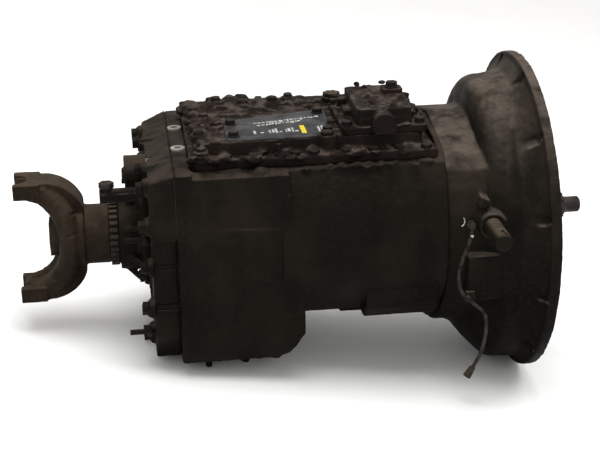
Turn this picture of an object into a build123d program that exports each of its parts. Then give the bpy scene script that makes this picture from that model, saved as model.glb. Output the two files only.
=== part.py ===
"""Heavy truck gearbox: twin-countershaft main section, two-speed range section and clutch housing.

Frame, in millimetres: the origin is the centre of the clutch housing's front flange face, +X runs
along the shafts towards the engine, +Z is up.  The case lies at -X and the output yoke ends it.
"""

from build123d import *
from math import acos, atan2, cos, degrees, pi, radians, sin, tan
import os

os.makedirs("parts", exist_ok=True)

# ---------------------------------------------------------------- driving dimensions
FLANGE_R = 276.0            # clutch housing flange, number 1 bell size
FLANGE_T = 18.0
PILOT_R = 255.6             # spigot that centres the housing on the flywheel housing
PILOT_T = 6.0
BOLT_CIRCLE_R = 265.1
FLANGE_HOLE_R = 5.95
FLANGE_HOLES = 12

BELL_BACK = -168.0          # joint between clutch housing and main case
BELL_WALL = 18.0
NECK_R = 188.0
BELL_BORE_R = 77.0
CASE_RING_R = 165.0         # bolts between clutch housing and case

CASE_BACK = -608.0
FRONT_WALL = -182.0         # inner face of the case's front wall
MID_WALL_FRONT = -428.0
MID_WALL_BACK = -445.0
CASE_TOP = 150.0
CASE_HALF = 200.0
CASE_DEPTH = 147.0
RANGE_HALF = 190.0
RANGE_DEPTH = 190.0
WALL = 10.0

COVER_BACK = -650.0         # rear face of the range cover
COVER_INNER = -620.0
GASKET = 1.0

TOP_FRONT = -177.0          # shift bar housing
TOP_BACK = -581.0
TOP_HALF = 155.0
TOP_FLANGE_Z = 165.0
TOP_Z = 189.0
RAIL_Z = 166.0
RAIL_R = 8.0
RAIL_PITCH = 30.0

MODULE = 5.0
PRESSURE_ANGLE = 25.0
ADDENDUM = 0.9 * MODULE
DEDENDUM = 1.15 * MODULE
BACKLASH = 0.7

CENTRES = 115.0             # mainshaft to each countershaft
RANGE_CENTRES = 110.0
SHAFT_R = 28.0              # splined outside of mainshaft and output shaft
GROOVE_R = 25.0
COUNTER_R = 20.0
JOURNAL_R = 18.0
RUN = 0.05                  # running clearance, radial
GAP = 0.3                   # side clearance between neighbours that slide

DRIVE_TEETH, DRIVE_COUNTER = 22, 24
THIRD_TEETH, THIRD_COUNTER = 26, 20
SECOND_TEETH, SECOND_COUNTER = 30, 16
FIRST_TEETH, FIRST_COUNTER = 34, 12
REVERSE_TEETH, REVERSE_COUNTER, IDLER_TEETH = 28, 12, 14
RANGE_TEETH, RANGE_COUNTER = 20, 24
LOW_TEETH, LOW_COUNTER = 30, 14

# each gear's rear and front face along X
DRIVE_X = (-212.0, -186.0)
THIRD_X = (-275.0, -250.0)
SECOND_X = (-301.0, -276.0)
FIRST_X = (-364.0, -339.0)
REVERSE_X = (-426.0, -402.0)
RANGE_X = (-485.0, -455.0)
LOW_X = (-562.0, -529.0)

COLLAR_X = {"front": -231.0, "middle": -320.0, "reverse": -383.0, "range": -496.0}
COLLAR_HALF = 18.0
RANGE_COLLAR_HALF = 21.0
DOG_R = 38.0
BAND_R = 47.0
BAND_HALF = 8.0
FORK_T = 9.0
RECESS = 13.0

ROD_Y, ROD_Z, ROD_R = -45.0, 118.0, 9.0
PISTON_R = 25.0

CROSS_X, CROSS_Z, CROSS_R = -98.0, 47.0, 15.0
LEVER_R, LEVER_END, LEVER_BACK = 14.5, 285.0, 232.0     # seat for the release lever, ends at -Y
QUILL_R = 35.0

SELECT_X, SELECT_Z, SELECT_R = -265.0, 208.0, 9.0

EAR_X, EAR_TIP = -872.0, 105.0
HUB_R = 57.0

DRAIN_XY = (-449.0, -112.0)
SENSOR_YZ = (-100.0, 101.0)
SWITCH_XY = [(-285.0, 60.0), (-215.0, 62.0)]
BUSH_XY = [(-595.3, 76.0), (-595.0, -43.0)]
BUSH_R = 12.0
NIPPLE_XY = (-437.0, -143.0)
BREATHER_XY = (-320.0, 72.0)
PLUG_XY = (-356.0, -128.0)
TOWER_PEAK_XY = (-231.0, -20.0)
STUD_YZ = [(-152.0, 40.0), (-160.0, -118.0), (152.0, 40.0)]
GLAND_XZ = (-130.0, 46.0)

CORD_R = 3.0
CORD_ROUTE = [
    (-130, -199, 41), (-135, -207, 22), (-147, -208, -6), (-155, -209, -36), (-150, -213, -65),
    (-130, -219, -82), (-110, -222, -98), (-108, -224, -124), (-112, -226, -151), (-120, -228, -175),
    (-131, -229, -192),
]
CORD_TIP = 20.0             # length of the connector on its end


# ---------------------------------------------------------------- helpers
def across(x):
    """Plane across the shafts at x, drawn as (Y, Z)."""
    return Plane.YZ.offset(x)


def axis_plane(x, y, z):
    """Plane across the shafts with its own centre at (y, z)."""
    return Plane(origin=(x, y, z), x_dir=(0, 1, 0), z_dir=(1, 0, 0))


def gear_points(teeth, phase):
    """Outline of a spur gear, first tooth centred on the angle phase in degrees."""
    pitch_r = MODULE * teeth / 2
    base_r = pitch_r * cos(radians(PRESSURE_ANGLE))
    root_r, tip_r = pitch_r - DEDENDUM, pitch_r + ADDENDUM

    def involute(r):
        a = acos(min(1.0, base_r / r))
        return tan(a) - a

    def half_angle(r):
        at_pitch = pi / (2 * teeth) - BACKLASH / (4 * pitch_r)
        return at_pitch + involute(pitch_r) - involute(max(r, base_r))

    low_r = max(root_r + 0.4, base_r)
    radii = [root_r, low_r, (low_r + tip_r) / 2, tip_r]
    points = []
    for i in range(teeth):
        centre = radians(phase) + 2 * pi * i / teeth
        flank = [(r, half_angle(r)) for r in radii]
        for r, a in flank:
            points.append((r * cos(centre - a), r * sin(centre - a)))
        for r, a in reversed(flank):
            points.append((r * cos(centre + a), r * sin(centre + a)))
    return points


def spur_gear(teeth, span, bore_r, phase, y=0.0, z=0.0, recess=()):
    """Spur gear on the axis (y, z).  recess names the faces that take a collar's dogs."""
    back, front = span
    with BuildPart() as gear:
        with BuildSketch(axis_plane(back, y, z)):
            with BuildLine():
                Polyline(*gear_points(teeth, phase), close=True)
            make_face()
            Circle(bore_r, mode=Mode.SUBTRACT)
        extrude(amount=front - back)
        for face in recess:
            start = back if face == "back" else front - RECESS
            with BuildSketch(axis_plane(start, y, z)):
                Circle(DOG_R + 1)
                with PolarLocations(DOG_R + 1, 12):
                    Rectangle(6, 6)
            extrude(amount=RECESS, mode=Mode.SUBTRACT)
    return gear.part


def collar(x, half):
    """Sliding collar: inner keys, dogs at both ends and a fork groove round its middle."""
    with BuildPart() as ring:
        with BuildSketch(across(x - half)):
            Circle(DOG_R)
            with PolarLocations(DOG_R, 12):
                Rectangle(6, 8, mode=Mode.SUBTRACT)
            Circle(SHAFT_R + RUN, mode=Mode.SUBTRACT)
        extrude(amount=2 * half)
        for start, length, radius in (
            (-BAND_HALF, 2 * BAND_HALF, DOG_R),
            (-BAND_HALF, BAND_HALF - FORK_T / 2 - GAP, BAND_R),
            (FORK_T / 2 + GAP, BAND_HALF - FORK_T / 2 - GAP, BAND_R),
        ):
            with BuildSketch(across(x + start)):
                Circle(radius)
                Circle(SHAFT_R + RUN, mode=Mode.SUBTRACT)
            extrude(amount=length)
        with BuildSketch(across(x - half)):
            with PolarLocations((GROOVE_R + SHAFT_R) / 2 + 0.65, 6):
                Rectangle(3.5, 9.4)
        extrude(amount=2 * half)
    return ring.part


def spline_grooves(back, front):
    """Six straight grooves for a collar's keys, as a solid to cut."""
    with BuildPart() as grooves:
        with BuildSketch(across(back)):
            with PolarLocations(GROOVE_R + 2.5, 6):
                Rectangle(5, 10)
        extrude(amount=front - back)
    return grooves.part


def turned(steps, y=0.0, z=0.0):
    """Stepped shaft on the axis (y, z): steps are (rear x, front x, radius)."""
    with BuildPart() as shaft:
        for back, front, radius in steps:
            with BuildSketch(axis_plane(back, y, z)):
                Circle(radius)
            extrude(amount=front - back)
    return shaft.part


def ball_bearing(back, front, bore_r, outer_r, balls, y=0.0, z=0.0):
    """Inner ring, outer ring and a cage of balls, as three solids."""
    width = front - back
    middle = (bore_r + outer_r) / 2
    ball_r = min((outer_r - bore_r) * 0.27, width * 0.42)
    with BuildPart() as bearing:
        with BuildSketch(axis_plane(back, y, z)):
            Circle(outer_r)
            Circle(middle + ball_r * 0.55, mode=Mode.SUBTRACT)
            Circle(middle - ball_r * 0.55)
            Circle(bore_r, mode=Mode.SUBTRACT)
        extrude(amount=width)
        with BuildSketch(Plane(origin=(back + width / 2, y, z), x_dir=(1, 0, 0), z_dir=(0, -1, 0))):
            with Locations((0, middle)):
                Circle(ball_r + 0.1)
        revolve(axis=Axis((back, y, z), (1, 0, 0)), mode=Mode.SUBTRACT)
    with BuildPart() as cage:
        with BuildSketch(axis_plane(back + 1, y, z)):
            Circle(middle + ball_r * 0.3)
            Circle(middle - ball_r * 0.3, mode=Mode.SUBTRACT)
        extrude(amount=width - 2)
        with Locations(axis_plane(back + width / 2, y, z)):
            with PolarLocations(middle, balls):
                Sphere(ball_r)
    return [bearing.part, cage.part]


def hex_bolts(places, direction, head_r, head_h, shank_r, shank_l, washer_r=0.0, washer_h=0.0):
    """Group of hex bolts.  places are head seats, direction points out of the head."""
    with BuildPart() as bolts:
        for place in places:
            seat = Plane(origin=place, z_dir=direction)
            if washer_r:
                with BuildSketch(seat):
                    Circle(washer_r)
                extrude(amount=washer_h)
            with BuildSketch(seat.offset(washer_h)):
                RegularPolygon(head_r, 6)
            extrude(amount=head_h)
            with BuildSketch(seat):
                Circle(shank_r)
            extrude(amount=-shank_l)
    return bolts.part


def drill(places, direction, radius, depth):
    """Solid of the holes that hex_bolts' shanks go into."""
    with BuildPart() as holes:
        for place in places:
            with BuildSketch(Plane(origin=place, z_dir=direction)):
                Circle(radius)
            extrude(amount=-depth)
    return holes.part


def case_block(half, top_half, top, depth, back, front):
    """Length of the main section: half an ellipse below, leaning sides above."""
    with BuildPart() as block:
        with BuildSketch(across(back)):
            with BuildLine():
                EllipticalCenterArc((0, 0), half, depth, start_angle=180, arc_size=180)
                ThreePointArc((half, 0), (half - 7, top * 0.45), (top_half, top))
                Line((top_half, top), (-top_half, top))
                ThreePointArc((-top_half, top), (-half + 7, top * 0.45), (-half, 0))
            make_face()
        extrude(amount=front - back)
    return block.part


def range_block(half, top, depth, corner, back, front):
    """Length of the range section: a box with large lower corners."""
    with BuildPart() as block:
        with BuildSketch(across(back)):
            with BuildLine():
                Line((-half, top), (half, top))
                Line((half, top), (half, -depth + corner))
                RadiusArc((half, -depth + corner), (half - corner, -depth), corner)
                Line((half - corner, -depth), (-half + corner, -depth))
                RadiusArc((-half + corner, -depth), (-half, -depth + corner), corner)
                Line((-half, -depth + corner), (-half, top))
            make_face()
        extrude(amount=front - back)
    return block.part


# ---------------------------------------------------------------- reverse idler geometry
to_counter = MODULE * (REVERSE_COUNTER + IDLER_TEETH) / 2
to_main = MODULE * (REVERSE_TEETH + IDLER_TEETH) / 2
idler_angle = -degrees(acos((to_main**2 + CENTRES**2 - to_counter**2) / (2 * to_main * CENTRES)))
idler_y = to_main * cos(radians(idler_angle))
idler_z = to_main * sin(radians(idler_angle))
idler_centres = [(idler_y, idler_z), (-idler_y, -idler_z)]
counter_to_idler = degrees(atan2(idler_z, idler_y - CENTRES))
idler_phase = counter_to_idler + 180 + 180 / IDLER_TEETH
lag = (idler_angle + 180 - idler_phase) % (360 / IDLER_TEETH)
reverse_phase = idler_angle + lag * IDLER_TEETH / REVERSE_TEETH + 180 / REVERSE_TEETH

# ---------------------------------------------------------------- fastener places
ring_angles = [15 + 30 * k for k in range(12)]
case_ring = [
    (BELL_BACK + BELL_WALL, CASE_RING_R * cos(radians(a)), CASE_RING_R * sin(radians(a)))
    for a in ring_angles
]
top_bolt_x = [-564, -522, -478, -410, -380, -328, -284, -240, -196]
top_places = [(x, side * 145.0, TOP_FLANGE_Z) for x in top_bolt_x for side in (-1, 1)]
cover_yz = [(-150, 128), (-98, 142), (52, 142), (150, 128), (172, 70), (172, 0), (172, -70), (128, -138),
            (45, -168), (-45, -168), (-128, -138), (-172, -70), (-172, 0), (-172, 70)]
cover_outline = [
    (-190, 157), (-190, 50), (-178, 38), (-178, -122), (-122, -184), (122, -184), (178, -122), (178, 38),
    (190, 50), (190, 157),
]
cover_places = [(COVER_BACK, y, z) for y, z in cover_yz]
tower_places = [(x, y, 201.0) for x in (-322, -201) for y in (-112, 22)]
plate_places = [(x, y, TOP_Z + 2) for x, y in ((-506, -100), (-506, -32), (-352, -100), (-354, 10))]
retainer_places = [
    (-662.0, 81 * cos(radians(a)), 81 * sin(radians(a))) for a in (0, 45, 90, 135, 180, 225, 270, 315)
]
quill_places = [
    (-158.0, 68 * cos(radians(a)), 68 * sin(radians(a))) for a in range(30, 390, 60)
]

# ---------------------------------------------------------------- clutch housing
half_neck = [(186, 0), (186, 62), (178, 98), (162, 131), (138, 150), (96, 169), (0, 189)]
neck_outline = half_neck + [(-y, z) for y, z in reversed(half_neck[:-1])]

with BuildPart() as clutch_housing:
    with BuildSketch(Plane.XZ):
        with BuildLine():
            Line((BELL_BACK, 0), (BELL_BACK, NECK_R - 3))
            Line((BELL_BACK, NECK_R - 3), (-112, NECK_R))
            ThreePointArc((-112, NECK_R), (-84, 202), (-52, 232))
            Line((-52, 232), (-30, 246))
            Line((-30, 246), (-FLANGE_T, 252))
            Line((-FLANGE_T, 252), (-FLANGE_T, FLANGE_R))
            Line((-FLANGE_T, FLANGE_R), (0, FLANGE_R))
            Line((0, FLANGE_R), (0, PILOT_R))
            Line((0, PILOT_R), (PILOT_T, PILOT_R))
            Line((PILOT_T, PILOT_R), (PILOT_T, 0))
            Line((PILOT_T, 0), (BELL_BACK, 0))
        make_face()
    revolve(axis=Axis.X)
    # squarer upper half of the neck
    with BuildSketch(across(BELL_BACK)):
        with BuildLine():
            Polyline(*neck_outline, close=True)
        make_face()
    extrude(amount=68)
    # rounded upper bulge, turned about an axis above the shaft
    with BuildSketch(Plane.XZ):
        with BuildLine():
            Polyline((-104, 52), (-104, 52 + 150))
            ThreePointArc((-104, 202), (-94, 232), (-66, 241))
            Polyline((-66, 241), (-10, 250), (-10, 52), (-104, 52))
        make_face()
    revolve(axis=Axis((0, 0, 52), (1, 0, 0)))
    # lower flare, turned about an axis below the shaft
    with BuildSketch(Plane.XZ):
        with BuildLine():
            Polyline((-150, -55), (-150, -188), (-129, -197), (-103, -230), (-72, -262), (-10, -266),
                     (-10, -55), (-150, -55))
        make_face()
    revolve(axis=Axis((0, 0, -55), (1, 0, 0)))
    with BuildSketch(Plane.XZ):
        with BuildLine():
            Polyline((PILOT_T + 1, 0), (PILOT_T + 1, 240), (-40, 226), (-78, 190), (-112, 178),
                     (BELL_BACK + BELL_WALL, 178), (BELL_BACK + BELL_WALL, 0), (PILOT_T + 1, 0))
        make_face()
    revolve(axis=Axis.X, mode=Mode.SUBTRACT)
    with BuildSketch(Plane.XZ):
        with BuildLine():
            Polyline((-10, 52), (-10, 238), (-66, 230), (-92, 200), (-92, 52), (-10, 52))
        make_face()
    revolve(axis=Axis((0, 0, 52), (1, 0, 0)), mode=Mode.SUBTRACT)
    with BuildSketch(Plane.XZ):
        with BuildLine():
            Polyline((-112, -55), (-112, -195), (-98, -216), (-68, -249), (-10, -254), (-10, -55),
                     (-112, -55))
        make_face()
    revolve(axis=Axis((0, 0, -55), (1, 0, 0)), mode=Mode.SUBTRACT)
    # side pads
    for side in (-1, 1):
        with BuildSketch(Plane.XZ.offset(-side * 170)):
            with Locations((-108.5, -44)):
                RectangleRounded(57, 78, 8)
        extrude(amount=-side * 36)
        with BuildSketch(Plane.XZ.offset(-side * 150)):
            with Locations((CROSS_X, CROSS_Z)):
                Circle(22)
        extrude(amount=-side * 60)
    with BuildSketch(Plane.XZ):
        with Locations((CROSS_X, CROSS_Z)):
            Circle(CROSS_R + RUN)
    extrude(amount=300, both=True, mode=Mode.SUBTRACT)
    # keep the pads' and bosses' inner ends out of the clutch space
    with BuildSketch(Plane.XZ):
        with BuildLine():
            Polyline((-20, 0), (-20, 190), (-78, 180), (-112, 172), (BELL_BACK + BELL_WALL, 172),
                     (BELL_BACK + BELL_WALL, 0), (-20, 0))
        make_face()
    revolve(axis=Axis.X, mode=Mode.SUBTRACT)
    with BuildSketch(across(-FLANGE_T)):
        with PolarLocations(BOLT_CIRCLE_R, FLANGE_HOLES, start_angle=15):
            Circle(FLANGE_HOLE_R)
    extrude(amount=FLANGE_T, mode=Mode.SUBTRACT)
    with BuildSketch(across(BELL_BACK)):
        Circle(BELL_BORE_R)
    extrude(amount=BELL_WALL, mode=Mode.SUBTRACT)
    add(drill(case_ring, (1, 0, 0), 5.5, BELL_WALL), mode=Mode.SUBTRACT)
    with BuildSketch(Plane.XZ.offset(187)):
        with Locations(GLAND_XZ):
            Circle(11)
    extrude(amount=-8)
    with BuildSketch(Plane.XZ.offset(187)):
        with Locations(GLAND_XZ):
            Circle(5)
    extrude(amount=-20, mode=Mode.SUBTRACT)

# ---------------------------------------------------------------- main case
side_profile = [
    (CASE_BACK, 160), (-425, 160), (-425, 20), (-412, -30), (-404, -70), (-404, -128), (-428, -166),
    (-462, -RANGE_DEPTH), (CASE_BACK, -RANGE_DEPTH),
]
with BuildPart() as deep_end:
    add(range_block(RANGE_HALF, CASE_TOP, RANGE_DEPTH, 62, CASE_BACK, -395))
    with BuildSketch(Plane.XZ):
        with BuildLine():
            Polyline(*side_profile, close=True)
        make_face()
    extrude(amount=240, both=True, mode=Mode.INTERSECT)

with BuildPart() as main_case:
    add(case_block(CASE_HALF, 163, CASE_TOP, CASE_DEPTH, -440, BELL_BACK))
    add(deep_end.part)
    with BuildSketch(across(BELL_BACK - 8)):
        Circle(180)
    extrude(amount=8)
    # rear flange, with its raised top
    with BuildSketch(across(CASE_BACK)):
        with BuildLine():
            Polyline(*cover_outline, close=True)
        make_face()
    extrude(amount=26)
    # bottom rail and drain boss
    with BuildSketch(Plane.XY.offset(-RANGE_DEPTH - 5)):
        with Locations((-545, 0)):
            RectangleRounded(112, 262, 10)
    extrude(amount=12)
    with BuildSketch(Plane.XY.offset(-RANGE_DEPTH - 3)):
        with Locations(DRAIN_XY):
            Circle(19)
    extrude(amount=30)
    add(case_block(CASE_HALF - WALL, 153, CASE_TOP - WALL, CASE_DEPTH - WALL, MID_WALL_FRONT, FRONT_WALL),
        mode=Mode.SUBTRACT)
    add(range_block(RANGE_HALF - WALL, 142, RANGE_DEPTH - WALL, 54, CASE_BACK, MID_WALL_BACK),
        mode=Mode.SUBTRACT)
    # bores in the front wall and the middle wall
    with BuildSketch(across(FRONT_WALL)):
        Circle(60)
        with Locations((CENTRES, 0), (-CENTRES, 0)):
            Circle(36)
    extrude(amount=BELL_BACK - FRONT_WALL, mode=Mode.SUBTRACT)
    with BuildSketch(across(MID_WALL_BACK)):
        Circle(55)
        with Locations((CENTRES, 0), (-CENTRES, 0)):
            Circle(36)
        with Locations((0, -RANGE_CENTRES)):
            Circle(34)
        with Locations(*idler_centres):
            Circle(12)
    extrude(amount=MID_WALL_FRONT - MID_WALL_BACK, mode=Mode.SUBTRACT)
    # window under the shift bar housing
    with BuildSketch(Plane.XY.offset(CASE_TOP - WALL - 2)):
        with Locations((-307, 0)):
            RectangleRounded(214, 132, 12)
    extrude(amount=WALL + 4, mode=Mode.SUBTRACT)
    add(drill(case_ring, (1, 0, 0), 5.5, BELL_WALL + 12), mode=Mode.SUBTRACT)
    add(drill(top_places, (0, 0, 1), 5, TOP_FLANGE_Z - CASE_TOP + 8), mode=Mode.SUBTRACT)
    add(drill(cover_places, (-1, 0, 0), 6, CASE_BACK - COVER_BACK + 20), mode=Mode.SUBTRACT)
    add(drill(quill_places, (1, 0, 0), 4.5, 20), mode=Mode.SUBTRACT)
    for x, y in BUSH_XY:
        with BuildSketch(Plane.XY.offset(157)):
            with Locations((x, y)):
                Circle(BUSH_R)
        extrude(amount=-7, mode=Mode.SUBTRACT)
    # fill plug on the far side, drain plug below
    with BuildSketch(Plane.XZ.offset(-RANGE_HALF)):
        with Locations((-520, -60)):
            Circle(15)
    extrude(amount=WALL + 2, both=True, mode=Mode.SUBTRACT)
    with BuildSketch(Plane.XY.offset(-RANGE_DEPTH - 3)):
        with Locations(DRAIN_XY):
            Circle(11)
    extrude(amount=20, mode=Mode.SUBTRACT)

# ---------------------------------------------------------------- covers at the front and the rear
with BuildPart() as front_bearing_retainer:
    with BuildSketch(across(BELL_BACK)):
        Circle(BELL_BORE_R - 0.5)
    extrude(amount=10)
    with BuildSketch(across(BELL_BACK + 10)):
        Circle(48)
    extrude(amount=12, taper=25)
    with BuildSketch(across(BELL_BACK + 10)):
        Circle(QUILL_R)
    extrude(amount=98)
    with BuildSketch(across(BELL_BACK)):
        Circle(28)
    extrude(amount=110, mode=Mode.SUBTRACT)
    with BuildSketch(across(BELL_BACK)):
        Circle(40)
    extrude(amount=7, mode=Mode.SUBTRACT)
    add(drill(quill_places, (1, 0, 0), 4.5, 10), mode=Mode.SUBTRACT)

with BuildPart() as rear_cover:
    with BuildSketch(across(COVER_BACK)):
        with BuildLine():
            Polyline(*cover_outline, close=True)
        make_face()
    extrude(amount=CASE_BACK - GASKET - COVER_BACK)
    add(range_block(RANGE_HALF - 24, 128, RANGE_DEPTH - 26, 50, COVER_INNER, CASE_BACK), mode=Mode.SUBTRACT)
    # bosses for the long bolts on the upper rear edge
    with BuildSketch(across(COVER_BACK - 8)):
        with Locations(*cover_yz):
            Circle(15)
    extrude(amount=10)
    with BuildSketch(across(COVER_BACK)):
        Circle(60)
        with Locations((ROD_Y, ROD_Z)):
            Circle(ROD_R + RUN)
    extrude(amount=60, mode=Mode.SUBTRACT)
    with BuildSketch(across(COVER_BACK)):
        with Locations((ROD_Y, ROD_Z)):
            Circle(PISTON_R + RUN)
    extrude(amount=12, mode=Mode.SUBTRACT)
    with BuildSketch(across(COVER_INNER - 17)):
        with Locations((0, -RANGE_CENTRES)):
            Circle(34)
    extrude(amount=18, mode=Mode.SUBTRACT)
    add(drill([(x - 8, y, z) for x, y, z in cover_places], (-1, 0, 0), 6, 60), mode=Mode.SUBTRACT)
    add(drill(retainer_places, (-1, 0, 0), 5, 24), mode=Mode.SUBTRACT)
    with BuildSketch(across(COVER_BACK)):
        with Locations(SENSOR_YZ):
            Circle(9)
    extrude(amount=14, mode=Mode.SUBTRACT)

with BuildPart() as output_bearing_retainer:
    with BuildSketch(across(-662)):
        Circle(92)
        with Locations(*[(y, z) for x, y, z in retainer_places]):
            Circle(15)
    extrude(amount=12)
    with BuildSketch(across(-662)):
        Circle(66)
    extrude(amount=-38, taper=5)
    with BuildSketch(across(-700)):
        Circle(32)
    extrude(amount=60, mode=Mode.SUBTRACT)
    with BuildSketch(across(-700)):
        Circle(46)
    extrude(amount=14, mode=Mode.SUBTRACT)
    add(drill(retainer_places, (-1, 0, 0), 5, 12), mode=Mode.SUBTRACT)

with BuildPart() as range_cylinder:
    with BuildSketch(across(-686)):
        with Locations((ROD_Y, ROD_Z)):
            Circle(32)
    extrude(amount=COVER_BACK + 686)
    with BuildSketch(across(-690)):
        with Locations((ROD_Y, ROD_Z)):
            RegularPolygon(12, 6)
    extrude(amount=5)
    with BuildSketch(across(-678)):
        with Locations((ROD_Y, ROD_Z)):
            Circle(PISTON_R + RUN)
    extrude(amount=30, mode=Mode.SUBTRACT)

with BuildPart() as gaskets:
    with BuildSketch(across(CASE_BACK - GASKET)):
        with BuildLine():
            Polyline(*cover_outline, close=True)
        make_face()
        with Locations(*cover_yz):
            Circle(6.5, mode=Mode.SUBTRACT)
    extrude(amount=GASKET)
    add(range_block(RANGE_HALF - 24, 128, RANGE_DEPTH - 26, 50, COVER_INNER, CASE_BACK), mode=Mode.SUBTRACT)
    with BuildSketch(Plane.XY.offset(CASE_TOP)):
        with Locations(((TOP_FRONT + TOP_BACK) / 2, 0)):
            RectangleRounded(TOP_FRONT - TOP_BACK, 2 * TOP_HALF, 16)
        with Locations((-307, 0)):
            Rectangle(220, 150, mode=Mode.SUBTRACT)
        with Locations(*[(x, y) for x, y, z in top_places]):
            Circle(5.5, mode=Mode.SUBTRACT)
    extrude(amount=GASKET)

# ---------------------------------------------------------------- shift bar housing and tower
with BuildPart() as shift_bar_housing:
    with BuildSketch(Plane.XY.offset(CASE_TOP + GASKET)):
        with Locations(((TOP_FRONT + TOP_BACK) / 2, 0)):
            RectangleRounded(TOP_FRONT - TOP_BACK, 2 * TOP_HALF, 16)
    extrude(amount=TOP_FLANGE_Z - CASE_TOP - GASKET)
    with BuildSketch(Plane.XY.offset(TOP_FLANGE_Z)):
        with Locations(((TOP_FRONT + TOP_BACK) / 2 - 4, 0)):
            RectangleRounded(376, 264, 16)
    extrude(amount=TOP_Z - TOP_FLANGE_Z, taper=12)
    with BuildSketch(Plane.XY.offset(TOP_Z - 2)):
        with Locations(BREATHER_XY):
            Circle(19)
    extrude(amount=7)
    with BuildSketch(Plane.XY.offset(TOP_FLANGE_Z)):
        with Locations(PLUG_XY):
            Circle(16)
    extrude(amount=TOP_Z + 5 - TOP_FLANGE_Z)
    with BuildSketch(Plane.XY.offset(CASE_TOP)):
        with Locations((-374, 0)):
            Rectangle(334, 150)
    extrude(amount=31, mode=Mode.SUBTRACT)
    for y in (-RAIL_PITCH, 0, RAIL_PITCH):
        with BuildSketch(across(-570)):
            with Locations((y, RAIL_Z)):
                Circle(RAIL_R + RUN)
        extrude(amount=389.5, mode=Mode.SUBTRACT)
    with BuildSketch(Plane.XY.offset(TOP_Z - 12)):
        with Locations((SELECT_X, -10)):
            Rectangle(60, 110)
    extrude(amount=20, mode=Mode.SUBTRACT)
    with BuildSketch(Plane.XY.offset(CASE_TOP)):
        with Locations(BREATHER_XY):
            Circle(10)
    extrude(amount=50, mode=Mode.SUBTRACT)
    with BuildSketch(Plane.XY.offset(TOP_Z + 5)):
        with Locations(PLUG_XY):
            Circle(8)
    extrude(amount=-14, mode=Mode.SUBTRACT)
    add(drill(top_places, (0, 0, 1), 5, 20), mode=Mode.SUBTRACT)
    add(drill(plate_places, (0, 0, 1), 4, 14), mode=Mode.SUBTRACT)
    add(drill(tower_places, (0, 0, 1), 4.5, 24), mode=Mode.SUBTRACT)
    for x, y in SWITCH_XY:
        with BuildSketch(Plane.XY.offset(TOP_Z)):
            with Locations((x, y)):
                Circle(8)
        extrude(amount=-6, mode=Mode.SUBTRACT)
    with BuildSketch(Plane.XY.offset(TOP_FLANGE_Z)):
        with Locations(NIPPLE_XY):
            Circle(4)
    extrude(amount=-5, mode=Mode.SUBTRACT)

with BuildPart() as shift_tower:
    with BuildSketch(Plane.XY.offset(TOP_Z)):
        with Locations((-261, -45)):
            RectangleRounded(140, 164, 10)
    extrude(amount=12)
    with BuildSketch(Plane.XY.offset(TOP_Z + 12)):
        with Locations((-260, -45)):
            RectangleRounded(92, 152, 10)
    extrude(amount=28, taper=3)
    with BuildSketch(Plane.XY.offset(TOP_Z + 40)):
        with Locations(TOWER_PEAK_XY):
            RectangleRounded(34, 34, 8)
    extrude(amount=8)
    with BuildSketch(Plane.XZ.offset(110)):
        with Locations((SELECT_X, SELECT_Z)):
            Circle(19)
    extrude(amount=30)
    with BuildSketch(Plane.XY.offset(TOP_Z)):
        with Locations((SELECT_X, -10)):
            Rectangle(60, 110)
    extrude(amount=35, mode=Mode.SUBTRACT)
    with BuildSketch(Plane.XZ.offset(141)):
        with Locations((SELECT_X, SELECT_Z)):
            Circle(SELECT_R + RUN)
    extrude(amount=-171, mode=Mode.SUBTRACT)
    add(drill(tower_places, (0, 0, 1), 4.5, 24), mode=Mode.SUBTRACT)
    with BuildSketch(Plane.XY.offset(TOP_Z + 48)):
        with Locations(TOWER_PEAK_XY):
            Circle(5)
    extrude(amount=-12, mode=Mode.SUBTRACT)

with BuildPart() as tower_cap:
    with BuildSketch(Plane.XZ.offset(140)):
        with Locations((SELECT_X, SELECT_Z)):
            Circle(20)
            with Locations((0, -24)):
                Rectangle(60, 20, mode=Mode.SUBTRACT)
    extrude(amount=10)

# ---------------------------------------------------------------- shafts and gears, main section
with BuildPart() as input_shaft:
    add(turned([(-199, BELL_BACK, 30), (BELL_BACK, -20, 24), (-20, 80, 22), (80, 111, 14)]))
    with BuildSketch(across(-5)):
        with PolarLocations(21, 10):
            Rectangle(4, 6)
    extrude(amount=86, mode=Mode.SUBTRACT)
    chamfer(input_shaft.faces().sort_by(Axis.X)[-1].edges(), length=3)
    with BuildSketch(across(-199)):
        Circle(JOURNAL_R)
    extrude(amount=14, mode=Mode.SUBTRACT)
    add(spur_gear(DRIVE_TEETH, DRIVE_X, 30, 180 / DRIVE_TEETH, recess=("back",)))

with BuildPart() as mainshaft:
    add(turned([(-471, -201, SHAFT_R), (-201, -187, JOURNAL_R - RUN)]))
    add(spline_grooves(-471, -201), mode=Mode.SUBTRACT)
    with BuildSketch(across(-471)):
        Circle(15 + RUN)
    extrude(amount=24, mode=Mode.SUBTRACT)

free_r = SHAFT_R + RUN
with BuildPart() as third_gear:
    add(spur_gear(THIRD_TEETH, THIRD_X, free_r, 180 / THIRD_TEETH, recess=("front",)))

with BuildPart() as second_gear:
    add(spur_gear(SECOND_TEETH, SECOND_X, free_r, 180 / SECOND_TEETH, recess=("back",)))

with BuildPart() as first_gear:
    add(spur_gear(FIRST_TEETH, FIRST_X, free_r, 180 / FIRST_TEETH, recess=("front",)))

with BuildPart() as reverse_gear:
    add(spur_gear(REVERSE_TEETH, REVERSE_X, free_r, reverse_phase, recess=("front",)))

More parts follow.
